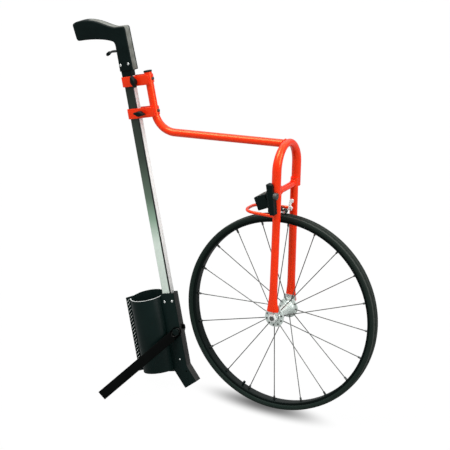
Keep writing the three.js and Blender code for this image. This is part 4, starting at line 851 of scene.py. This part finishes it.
def drum_pieces():
    """Three number drums with their figures, and the knob that turns them back."""
    for i, word in enumerate(("units", "tens", "hundreds")):
        low = -30.0 + i * (DRUM_WIDTH + FIT)
        high = low + DRUM_WIDTH
        side = [(8.5, low), (8.9, low + 0.3), (9.0, low + 0.7), (9.0, high - 0.7), (8.9, high - 0.3), (8.5, high)]
        piece(f"drum_{word}_body", [revolved(side, 60, False)], ON_COUNTER, f"drum_{word}", [f"number_drum_{word}"])
        numbers(word, low + DRUM_WIDTH / 2)
    knob = [(1.95, -3.5), (1.95, 0.4), (5.4, 0.4), (5.9, 0.9), (5.9, 5.6), (5.3, 6.6), (4.2, 7.0), (3.8, 6.5)]
    wheel = revolved(knob, 144, False, middle=(0, COUNTER_FAR, 0), lobes=24, swell=0.017)
    piece("reset_wheel", [wheel], ON_COUNTER, "reset", ["reset_knob"], sharp=50)


def numbers(word, middle):
    """Ten figures round a drum: a flat figure's height becomes an angle, its width runs along the axis."""
    verts, faces, base = [], [], 0
    for k in range(10):
        curve = bpy.data.curves.new("figure", "FONT")
        curve.body = str(k)
        curve.size = 8.2 * MM
        curve.align_x = "CENTER"
        curve.align_y = "CENTER"
        curve.extrude = 0.07 * MM
        curve.resolution_u = 4
        text = bpy.data.objects.new("figure", curve)
        flat = bpy.data.meshes.new_from_object(text)
        count = len(flat.vertices)
        points = np.empty(count * 3)
        flat.vertices.foreach_get("co", points)
        u, v, w = points.reshape(-1, 3).T / MM
        angle = math.radians(36 * k) - v / DRUM_RADIUS
        radius = DRUM_RADIUS - 0.02 + w
        verts.append(np.column_stack([-radius * np.sin(angle), middle - u, radius * np.cos(angle)]))
        faces += [[base + i for i in face.vertices] for face in flat.polygons]
        base += count
        bpy.data.objects.remove(text)
        bpy.data.curves.remove(curve)
        bpy.data.meshes.remove(flat)
    mesh = bpy.data.meshes.new(f"figures_{word}")
    mesh.from_pydata(placed(np.concatenate(verts), ON_COUNTER).tolist(), [], faces)
    finished(f"figures_{word}", mesh, f"drum_{word}", (), "black_plastic", None)


# Arm, straps and knobs
def arm_pieces():
    """The bent arm with its end cap, bolt heads and weld at the hoop's crown."""
    crown = np.array([-HOOP_TOP * math.sin(lean), 0, HOOP_TOP * math.cos(lean)])
    slope = math.radians(ARM_SLOPE)
    run = np.array([-math.cos(slope), 0, -math.sin(slope)])
    foot = (STAFF_BASE + MM * ARM_SPACING * FORWARD - WHEEL) / MM
    across = (crown[0] - foot[0]) * run[2] - (crown[2] - foot[2]) * run[0]
    along = across / (UP_STAFF[0] * run[2] - UP_STAFF[2] * run[0])
    corners = [crown + run * 5.5, foot + along * UP_STAFF, foot + (ARM_TOP - 0.2) * UP_STAFF]
    tube = swept(bent(corners, 44, 24), circle(ARM_RADIUS, 40), (0, 1, 0))
    piece("arm_bent_tube", [tube], ON_WHEEL, "frame", ["arm_tube"])
    t = round_steps(72)
    out = np.stack([np.zeros(72), np.cos(t), np.sin(t)], -1)
    ring = (ARM_RADIUS + 0.3) * out
    reach = np.sqrt(np.maximum((HOOP_RADIUS + 0.4) ** 2 - ring[:, 2] ** 2, 1.0))
    ring[:, 0] = -reach - 0.012 * ring[:, 1] ** 2
    thick = 1.5 * (1 + 0.15 * np.cos(24 * t))[:, None, None]
    bead = looped(ring + [0, 0, HOOP_TOP], 0.7 * (out - ALONG), 0.7 * (out + ALONG), thick)
    piece("crown_weld", [bead], ON_FORK, "frame", slot="red_paint")
    cap = revolved([(5.4, 411.2), (5.4, 420.2), (8.1, 420.2), (8.4, 420.5), (8.4, 422.0), (7.8, 422.8), (6.0, 423.0)],
                   48, False, "z", (ARM_SPACING, 0, 0))
    piece("arm_end_plug", [cap], ON_STAFF, "frame", ["arm_cap"])
    head = [(3.6, 7.0), (3.6, 7.9), (3.1, 7.9), (3.2, 8.2), (3.2, 9.8), (2.8, 10.2)]
    bolts = [revolved(head, 6, False, "x", (ARM_SPACING, 0, s)) for s in STRAPS.values()]
    piece("strap_bolt_heads", bolts, ON_STAFF, "frame", slot="zinc_plate", finish=dark_zinc)


def strap(level):
    """A band round the staff: a rounded strip section along a U-shaped path, with a welded nut."""
    s = STRAPS[level]
    y = STAFF_HALF + FIT + STRAP_THICK / 2
    back = -STAFF_DEPTH / 2 - FIT - STRAP_THICK / 2
    end = ARM_SPACING + 4.5
    path = bent([(end, -y, s), (back, -y, s), (back, y, s), (end, y, s)], 3.0, 8)
    before = [[-3.0, 0, 0]]
    path = np.concatenate([path[:1], path[:1] + before, path[1:-1], path[-1:] + before, path[-1:]])
    section = oblong(STRAP_THICK, STRAP_WIDTH, 0.8, 3)
    rows = np.broadcast_to(section, (len(path),) + section.shape).copy()
    rows[[0, -1], :, 1] *= 0.82
    band = swept(path, rows, (0, 0, 1))
    nut = revolved([(3.5, y + 1.4), (6.0, y + 1.4), (6.0, y + 5.6), (5.4, y + 6.4), (3.5, y + 6.4)], 6,
                   middle=(KNOB_PLACE, 0, s), phase=0.2)
    bead = weld((KNOB_PLACE, y + 1.6, s), 6.0, "y", 0.8, 60, 16)
    piece(f"strap_band_{level}", [band, nut, bead], ON_STAFF, "frame", [f"clamp_strap_{level}"])


def wing_knob(level):
    """A wing knob: a lens outline whose thickness swells to its middle, on a ribbed neck with a threaded bolt."""
    middle = np.array([KNOB_PLACE, 0, STRAPS[level]])
    face = -(STAFF_HALF + FIT + STRAP_THICK + FIT)
    t = round_steps(96)
    pinch = 1 - 0.28 * np.sin(2 * t) ** 2
    outline = np.column_stack([12.0 * np.cos(t) * pinch ** 0.4, 5.0 * np.sin(t) * pinch])
    depth = np.array([0.0, 0.4, 1.2, 3.0, 6.0, 8.5, 10.0, 10.7, 11.0]) * 12 / 11
    grow = (0.80, 0.92, 0.985, 1.0, 0.99, 0.97, 0.92, 0.84, 0.70)
    grid = stacked([outline * share for share in grow], face - 2.0 - depth)[..., [0, 2, 1]]
    points, quads, caps = spun(shell(grid), -math.radians(KNOB_TURNS[level]))
    neck = revolved([(3.4, face), (4.6, face - 0.4), (5.0, face - 1.2), (4.6, face - 2.4), (4.2, face - 4.0)], 48,
                    False, middle=middle, lobes=12, swell=0.02)
    bolt = threaded(2.95, face - 0.5, 7.0 - face, 1.0, middle=middle)
    piece(f"wing_knob_{level}", [(points + middle, quads, caps), neck], ON_STAFF, f"knob_{level}",
          [f"clamp_knob_{level}"])
    piece(f"wing_bolt_{level}", [bolt], ON_STAFF, f"knob_{level}", slot="zinc_plate", finish=dark_zinc)


# Staff and grip
def staff_pieces():
    """The staff: a hollow rounded rectangle, its inner wall joined to its outer one at both ends."""
    outer = oblong(STAFF_DEPTH, 2 * STAFF_HALF, 2.5, 6)
    inner = oblong(STAFF_DEPTH - 2 * STAFF_WALL, 2 * (STAFF_HALF - STAFF_WALL), 1.2, 6)
    rows = [outer * 0.985, outer, outer, outer * 0.985, inner * 1.02, inner, inner, inner * 1.02]
    ends = [STAFF_LOW, STAFF_LOW + 0.3, STAFF_TOP - 0.3, STAFF_TOP]
    tube = shell(stacked(rows, ends + ends[::-1]), True)
    piece("staff_extrusion", [tube], ON_STAFF, "frame", ["staff_tube"], finish=shaded_aluminium())


def bezier(a, b, c, d, steps=10):
    """Points of a cubic curve from a to d, drawn towards b and c on the way, without its first point."""
    t = np.linspace(0, 1, steps + 1)[1:, None]
    a, b, c, d = (np.asarray(v, float) for v in (a, b, c, d))
    return (1 - t) ** 3 * a + 3 * t * (1 - t) ** 2 * b + 3 * t ** 2 * (1 - t) * c + t ** 3 * d


def quadratic(a, b, c, steps=5):
    """Points of a quadratic curve from a to c, drawn towards b on the way, without its first point."""
    a, b, c = (np.asarray(v, float) for v in (a, b, c))
    return bezier(a, a + (b - a) * 2 / 3, c + (b - c) * 2 / 3, c, steps)


def grip_outline(notch=False):
    """The grip seen from the side: housing over the staff's top and the handle sweeping back to its butt."""
    back, front, bottom, shoulder, corner = -12.0, 15.8, 427.5, 515.0, 6.0
    butt, top = back - GRIP_REACH, shoulder + GRIP_RISE
    under = top - 39.5

    def at(share, level):
        """A point at a share of the handle's reach."""
        return back - GRIP_REACH * share, level

    pieces = [
        [(back, bottom), (front + 2, bottom), (front, shoulder - corner)],
        quadratic((front, shoulder - corner), (front, shoulder), (front - corner, shoulder)),
        [(back + corner, shoulder)],
        bezier((back + corner, shoulder), at(0.14, shoulder + GRIP_RISE * 0.18), at(0.36, top - 1), at(0.7, top), 16),
        quadratic(at(0.7, top), at(0.92, top), (butt + 1.6, top - 4.5), 6),
        quadratic((butt + 1.6, top - 4.5), (butt, top - 5.4), (butt, top - 9.0), 4),
        [(butt + 3, under + corner)],
        quadratic((butt + 3, under + corner), (butt + 4, under), (butt + 4 + corner, under)),
        bezier((butt + 4 + corner, under), at(0.55, under + 1), at(0.2, under - 3), at(0.04, under - 10), 16),
        quadratic(at(0.04, under - 10), (back, under - 13), (back, 477.0), 6),
    ]
    if notch:
        pieces.append([(-1.0, 476.0), (-1.0, 463.0), (back, 463.0)])
    return np.concatenate(pieces)


def grip_pieces():
    """Two mouldings that meet in a seam, a pale strip down the front and along the top that is a painted reflection,
    screws, and the staff's collar.
    """
    body = grip_outline()
    halves = [slab(body, 3.4, 12.0, 2.8, 6), slab(grip_outline(True), 0.25, 6.0, 0.02, 1)]
    for side, word in SIDES:
        shells = halves if side > 0 else [mirrored(part) for part in halves]
        piece(f"grip_moulding_{word}", shells, ON_STAFF, "frame", [f"grip_{word}"])
    screws = [screw((f, side * 11.7, s), 2.6, side, 0.9) for side in (-1, 1) for f, s in ((-7.6, 440.0), (10.0, 441.0))]
    piece("grip_screws", screws, ON_STAFF, "frame", slot="zinc_plate")
    # Painted reflection: a pale strip down the grip's front and along its top
    front = [(17.75, 429.0), (16.9, 466.0), (15.95, 508.0), (15.5, 511.2), (14.2, 513.6), (12.0, 514.6)]
    upper = body[(body[:, 0] < 11.0) & (body[:, 0] > -64.0) & (body[:, 1] > 512.0)]
    line = np.concatenate([front, upper[np.argsort(-upper[:, 0])]])
    path = np.column_stack([line[:, 0], np.full(len(line), -1.5), line[:, 1]])
    piece("grip_front_and_top_painted_reflection", [capped(path, oblong(0.9, 15.5, 0.4, 3), (0, 1, 0), 0.4)], ON_STAFF, "frame",
          slot="black_plastic", finish=grip_reflection_paint)
    sizes = ((21.4, 17.0, 2.9), (22.4, 18.0, 3.2), (22.6, 18.2, 3.2), (21.0, 16.6, 2.8), (20.2, 15.8, 2.5))
    collar = stacked([oblong(*size, 5) for size in sizes], (416.5, 417.2, 427.2, 427.4, 416.6))
    piece("grip_collar", [shell(collar, True)], ON_STAFF, "frame", slot="black_plastic")


def trigger_pieces():
    """The trigger: a hub and a bent plate, with a moulded tip at its end, and the pull rod with its heads."""
    arm = eased([(3.6, -2.3), (3.6, 2.3), (-28.5, 3.3), (-40.5, -4.2), (-40.5, -6.5), (-28.5, -1.3)],
                [1, 1, 4, 1, 1, 4], 4)
    plate = slab(arm + [0, TRIGGER_LEVEL], -3.0, 3.0, 0.5, 3)
    hub = revolved([(2.4, -3.0), (4.1, -3.0), (4.4, -2.7), (4.4, 2.7), (4.1, 3.0), (2.4, 3.0)], 40,
                   middle=(3.6, 0, TRIGGER_LEVEL))
    piece("trigger_lever", [plate, hub], ON_STAFF, "trigger", ["trigger"], finish=dark_zinc)
    t = np.linspace(0, 1, 13)
    path = np.array([-31.0, 0, TRIGGER_LEVEL + 0.4]) + np.array([-10.3, 0, -5.6]) * t[:, None]
    swell = 3.6 * np.sqrt(np.clip(1 - (2 * t - 1) ** 4, 0.03, 1))
    tip = swept(path, circle(1.0, 24)[None] * swell[:, None, None], (0, 1, 0))
    piece("trigger_tip", [tip], ON_STAFF, "trigger", slot="black_plastic")
    low = LEVER_LEVEL - 1.0 - 0.7
    high = TRIGGER_LEVEL + 2.3 + 1.4
    wire = [(2.6, low - 2), (3.2, low - 1.6), (3.2, low - 0.4), (2.6, low), (1.6, low), (1.5, low + 0.3),
            (1.5, high - 0.3), (1.6, high), (2.6, high), (3.2, high + 0.4), (3.2, high + 1.6), (2.6, high + 2)]
    piece("pull_wire", [revolved(wire, 24, False, "z", (-4.0, 0, 0))], ON_STAFF, "rod", ["pull_rod"])


# Bracket, can holder and leg
def bracket_pieces():
    """The channel: two side walls with the bent outline and a web along its front, with screws and an eyelet."""
    turn = math.radians(25)
    down = np.array([math.sin(turn), -math.cos(turn)])
    across = np.array([math.cos(turn), math.sin(turn)])
    back, depth, top, bend = -14.0, 30.5, -25.0, -183.5
    face = back + depth
    foot = np.array([back, bend]) + 44 * down
    bend_front = bend + depth * math.tan(turn / 2)
    outline = np.array([(back, top), (face, top), (face, bend_front), foot + across * depth, foot, (back, bend)])
    side_outline = eased(outline, [2.0, 0.6, 1.5, 2.0, 2.0, 2.0], 4)
    walls = [slab(side_outline, sign * 8.85 - 0.75, sign * 8.85 + 0.75, 0.35, 2) for sign in (-1, 1)]
    end = foot + across * (depth - 0.75)
    front_path = bent([(face - 0.75, 0, top), (face - 0.75, 0, bend_front), (end[0], 0, end[1])], 3, 6)
    web = swept(front_path, oblong(1.5, 19.2, 0.7, 3), (0, 1, 0))
    eyelet = revolved([(1.4, -9.4), (2.2, -9.4), (2.2, -9.95), (1.6, -10.0), (1.4, -9.8)], 24, middle=(12.5, 0, -205))
    piece("bracket_walls", walls + [eyelet], ON_STAFF, "frame", ["staff_bracket"], finish=FINISHES["holder_plastic"])
    piece("bracket_web", [web], ON_STAFF, "frame", slot="black_steel", finish=worn_web)
    heads = []
    for f, s, size in ((-7.3, -42.5, 2.7), (9.8, -41.8, 2.7), (4.1, -162.7, 1.9)):
        heads += [screw((f, side * 9.5, s), size, side, 0.9) for side in (-1, 1)]
    piece("bracket_screws", heads, ON_STAFF, "frame", slot="zinc_plate")
    stub = revolved([(4.2, 15.4), (4.9, 15.8), (4.9, 19.6), (4.0, 20.4), (2.2, 20.6)], 24, False, "x", (0, 4.0, -98))
    piece("bracket_stub", [stub], ON_STAFF, "frame", slot="black_steel", finish=leg_black)


def cut_slope(points, above):
    """Lowers the holder's top on the near side and lifts it a little on the far one, in proportion to the place."""
    points[:, 2] += np.where(points[:, 2] > above, 3.6 * points[:, 1] / 35.5 - 2.2, 0.0)


def holder_pieces():
    """The can holder: a rolled wall whose section is a strip, with a floor, and pale strips along its top and its cut
    edge that are the bare edge with a painted highlight on it.
    """
    radius, wall, bottom, top = 34.75, 1.5, HOLDER_BOTTOM, HOLDER_TOP
    level, cut = (top + bottom) / 2, top - 3
    start, end = math.pi + math.radians(24), 3 * math.pi - math.radians(6)
    a = np.linspace(start, end, 120)
    path = np.column_stack([HOLDER_MIDDLE + radius * np.cos(a), radius * np.sin(a), np.full(120, level)])
    tall = oblong(wall, top - bottom - 0.7, 0.45, 3)
    sheet = swept(path, tall, (0, 0, 1))
    lip_turn = math.radians(122)
    along = np.array([math.cos(lip_turn + math.pi / 2 - 0.2), math.sin(-lip_turn)])
    corner = path[-1, :2]
    tip = corner + 13 * along
    lip = swept(np.array([[*place, level] for place in (corner, (corner + tip) / 2, tip)]), tall, (0, 0, 1))
    halves = []
    for side in (-1, 1):
        outer = (arc_points(34.4, 0, 180, 40) + [0, 0.01]) * [1, side]
        inner = (arc_points(12, 180, 22, 20) + [0, 0.01]) * [1, side]
        outline = np.concatenate([outer, inner, [(31, side * 4.5), (31, side * 0.01)]]) + [HOLDER_MIDDLE, 0]
        halves.append(slab(outline, bottom, bottom + wall, 0.2, 2, "z"))
    cut_slope(sheet[0], cut)
    cut_slope(lip[0], cut)
    piece("holder_wall", [sheet, lip] + halves, ON_STAFF, "frame", ["can_holder"])
    # Pale strips on the rim and along the cut edge: the bare cut edge, with a painted highlight on it
    path[:, 2] = top - 0.25
    rim = swept(path, oblong(1.55, 0.5, 0.2, 2), (0, 0, 1))
    turn = np.array([[math.cos(start), math.sin(start)], [-math.sin(start), math.cos(start)]])
    place = path[0, :2] + np.array([math.sin(start), -math.cos(start)]) * 0.15
    edge_path = np.array([[*place, z] for z in (bottom + 0.6, level, top - 0.1)])
    edge = swept(edge_path, oblong(0.5, 1.55, 0.2, 2) @ turn, (0, 1, 0))
    cut_slope(rim[0], cut)
    cut_slope(edge[0], cut)
    piece("holder_edge_painted_highlight", [rim, edge], ON_STAFF, "frame", slot="zinc_plate", finish=bare_edge)
    dashes = []
    across = np.array([-along[1], along[0]])
    low, high = corner + along * 8.0, corner + along * 12.4
    for s in np.arange(bottom + 8, top - 8, 7.0):
        for face in (-0.85, 0.85):
            ends = [[*(place + across * face), s + rise]
                    for place, rise in ((low, 2.6), ((low + high) / 2, 0.0), (high, -2.6))]
            dashes.append(swept(np.array(ends), circle(0.45, 8), (0, 0, 1)))
    piece("holder_lip_serration", dashes, ON_STAFF, "frame", slot="zinc_plate", finish=bare_edge)


def lever_piece():
    """The nozzle lever: a strip with a rounded pad under the nozzle and a pinned hub in the bracket."""
    level = LEVER_LEVEL
    tip = arc_points(1.0, 90, 270, 13) * [6.0, 3.5] + [HOLDER_MIDDLE, 0]
    strip = slab(np.concatenate([[(14.0, -3.5), (14.0, 3.5)], tip]), level - 1.0, level + 1.0, 0.3, 2, "z")
    hub = rod(2.95, -7.8, 7.8, middle=(14, 0, level))
    pins = rod(1.95, -9.6, 9.6, middle=(14, 0, level), steps=20)
    pad = revolved([(5.9, level - 0.9), (6.0, level + 4.4), (5.4, level + 4.9), (3.0, level + 5.0), (2.6, level + 4.4)],
                   40, False, "z", (HOLDER_MIDDLE, 0, 0))
    piece("lever_strip", [strip, hub, pins, pad], ON_STAFF, "lever", ["nozzle_lever"])


def leg_pieces():
    """The side leg: a flat bar bent out from its tab, its sides rounded, and its bolt with washer and nut."""
    pivot = (STAFF_BASE - WHEEL) / MM + 10.0 * FORWARD - 104.0 * UP_STAFF
    drop, splay = math.radians(51), math.radians(47.5)
    along = np.array([-math.cos(drop), 0, -math.sin(drop)])
    width = np.array([math.sin(drop), 0, -math.cos(drop)])
    tab_y = -(FLANGE_OUTER + FIT + LEG_THICK / 2)
    bend = pivot + along * 12
    bend[1] = tab_y
    bar = along * math.cos(splay) + np.array([0, -math.sin(splay), 0])
    thick = np.cross(width, bar)
    thick /= np.linalg.norm(thick)
    lowest = abs(width[2]) * LEG_WIDTH / 2 + abs(thick[2]) * LEG_THICK / 2
    reach = (bend[2] + WHEEL[2] / MM - lowest) / -bar[2]
    tip = bend + bar * reach
    start = pivot.copy()
    start[1] = tab_y
    path = bent([start, bend, tip], 8.0, 8)
    path = np.concatenate([path, path[-1:]])
    path[-2] = path[-1] - bar * 0.6
    section = oblong(LEG_THICK, LEG_WIDTH, 1.2, 4)
    rows = np.broadcast_to(section, (len(path),) + section.shape).copy()
    rows[-1] *= [0.8, 0.97]
    strip = swept(path, rows, width)
    ring = revolved([(4.6, -1.7), (4.9, -2.0), (9.3, -2.0), (9.75, -1.6), (9.75, 1.6), (9.3, 2.0), (4.9, 2.0),
                     (4.6, 1.7)], 48, middle=start)
    piece("leg_bar", [strip, ring], ON_WHEEL, "leg", ["side_leg"], finish=leg_black)
    t = round_steps(56)
    long_way = 12.5 * np.cos(t) * (1 - 0.12 * np.cos(t) ** 2)
    short_way = 5.8 * np.sin(t) * (1 - 0.25 * np.cos(t) ** 2)
    loop = start - 3.0 * SIDE + along * 2.0 + long_way[:, None] * along + short_way[:, None] * width
    out = loop - loop.mean(0)
    out /= np.linalg.norm(out, axis=1, keepdims=True)
    wire = looped(loop, out, np.tile(SIDE, (56, 1)), 0.8)
    piece("leg_keeper_ring", [wire], ON_WHEEL, "leg", slot="black_steel", finish=worn_web)
    near = -(FLANGE_OUTER + FIT + LEG_THICK + FIT)
    far = FLANGE_OUTER + FIT
    middle = (10, 0, -104)
    shaft = rod(3.95, near - 0.5, far + 6.5, middle=middle)
    head = revolved([(7.4, near), (7.5, near - 0.3), (7.5, near - 3.3), (6.6, near - 4.0), (4.0, near - 4.0)], 6, False,
                    middle=middle, phase=0.3)
    nut = revolved([(6.7, far), (6.7, far + 4.8), (6.0, far + 5.5), (4.2, far + 5.5)], 6, False, middle=middle,
                   phase=0.1)
    piece("leg_pivot_bolt", [shaft, head, nut], ON_STAFF, "frame", ["leg_bolt"])


wheel_pieces()
axle_pieces()
fork_pieces()
gear_case_pieces()
roller_pieces()
housing_pieces()
drum_pieces()
arm_pieces()
for level in STRAPS:
    strap(level)
    wing_knob(level)
staff_pieces()
grip_pieces()
trigger_pieces()
bracket_pieces()
holder_pieces()
lever_piece()
leg_pieces()


# Camera, floor and light
def aim(azimuth, elevation, roll):
    """Axes of a camera: right, up and back, turned about its own line of sight."""
    a, e, r = (math.radians(v) for v in (azimuth, elevation, roll))
    back = np.array([math.sin(a) * math.cos(e), -math.cos(a) * math.cos(e), math.sin(e)])
    right = np.array([math.cos(a), math.sin(a), 0.0])
    up = np.cross(back, right)
    return right * math.cos(r) + up * math.sin(r), up * math.cos(r) - right * math.sin(r), back


def photo_camera():
    """The camera at the photograph's place, as a matrix with the three axes as its columns."""
    data = bpy.data.cameras.new("photo_camera")
    data.sensor_width = SENSOR
    data.lens = CAMERA_LENS
    data.clip_end = 100
    made = bpy.data.objects.new("photo_camera", data)
    bpy.context.scene.collection.objects.link(made)
    matrix = np.eye(4)
    matrix[:3, :3] = np.stack(aim(CAMERA_AZIMUTH, CAMERA_ELEVATION, CAMERA_ROLL), 1)
    matrix[:3, 3] = WHEEL + CAMERA_FROM_WHEEL
    made.matrix_world = Matrix(matrix)
    bpy.context.scene.camera = made


def ground():
    """A wide white floor with a painted shadow under the tyre: an ellipse of painted shade on the floor, its darkness
    easing out.
    """
    reach = 30.0
    mesh = bpy.data.meshes.new("floor")
    mesh.from_pydata([(-reach, -reach, 0), (reach, -reach, 0), (reach, reach, 0), (-reach, reach, 0)], [],
                     [(0, 1, 2, 3)])
    made = bpy.data.objects.new("floor", mesh)
    bpy.context.scene.collection.objects.link(made)
    material = bpy.data.materials.new("white_floor")
    material.use_nodes = True
    tree = material.node_tree
    shader = tree.nodes["Principled BSDF"]
    shader.inputs["Base Color"].default_value = FLOOR
    shader.inputs["Roughness"].default_value = 1.0
    shader.inputs["Specular IOR Level"].default_value = 0.0
    place = put(tree, "ShaderNodeTexCoord").outputs["Object"]
    # Painted shadow: the floor's glow dims in a soft ellipse under the tyre
    band = put(tree, "ShaderNodeMapping", {"vector_type": "TEXTURE", "Location": PAINTED_SHADOW_MIDDLE, "Scale": PAINTED_SHADOW_REACH,
                                           "Rotation": (0, 0, math.radians(PAINTED_SHADOW_TURN)), "Vector": place})
    far = put(tree, "ShaderNodeVectorMath", {"operation": "LENGTH", 0: band.outputs["Vector"]})
    dark = put(tree, "ShaderNodeMapRange", {"interpolation_type": "SMOOTHERSTEP", "Value": far.outputs["Value"],
                                            "From Min": 0.0, "From Max": 1.0, "To Min": PAINTED_SHADOW_LEVEL, "To Max": 1.02})
    glow = put(tree, "ShaderNodeEmission", {"Color": (1, 1, 1, 1), "Strength": dark.outputs["Result"]})
    ray = put(tree, "ShaderNodeLightPath")
    share = reckon(tree, "MULTIPLY", ray.outputs["Is Camera Ray"], WHITE_SHARE)
    both = put(tree, "ShaderNodeMixShader", {"Fac": share, 1: shader.outputs["BSDF"], 2: glow.outputs["Emission"]})
    tree.links.new(both.outputs["Shader"], tree.nodes["Material Output"].inputs["Surface"])
    mesh.materials.append(material)


def studio_world():
    """A white room for the camera; to gloss it is dim near the horizon and bright overhead, to the rest even."""
    world = bpy.data.worlds.new("white_room")
    world.use_nodes = True
    bpy.context.scene.world = world
    tree = world.node_tree
    back = tree.nodes["Background"]
    back.inputs["Color"].default_value = (1, 1, 1, 1)
    ray = put(tree, "ShaderNodeLightPath").outputs
    way = put(tree, "ShaderNodeTexCoord").outputs["Generated"]
    height = reckon(tree, "ABSOLUTE", put(tree, "ShaderNodeSeparateXYZ", {"Vector": way}).outputs["Z"])
    gloss = ranged(tree, height, 0.15, 0.85, LOW_GLOSS, HIGH_GLOSS)
    seen = put(tree, "ShaderNodeMix", {"data_type": "FLOAT", "Factor": ray["Is Glossy Ray"], 2: ROOM_LIGHT, 3: gloss})
    level = put(tree, "ShaderNodeMix", {"data_type": "FLOAT", "Factor": ray["Is Camera Ray"], 2: seen.outputs[0],
                                        3: 1.0})
    tree.links.new(level.outputs[0], back.inputs["Strength"])


def lamp(name, azimuth, elevation, strength, softness):
    """A distant soft lamp from a direction, given as the camera's angles are."""
    data = bpy.data.lights.new(name, "SUN")
    data.energy = strength
    data.angle = math.radians(softness)
    made = bpy.data.objects.new(name, data)
    bpy.context.scene.collection.objects.link(made)
    made.rotation_euler = Vector(aim(azimuth, elevation, 0)[2]).to_track_quat("Z", "Y").to_euler()


photo_camera()
ground()
studio_world()
lamp("key_lamp", -38, 60, KEY_LIGHT, 34)
lamp("fill_lamp", 85, 25, FILL_LIGHT, 40)

bpy.context.scene.view_settings.view_transform = "Standard"
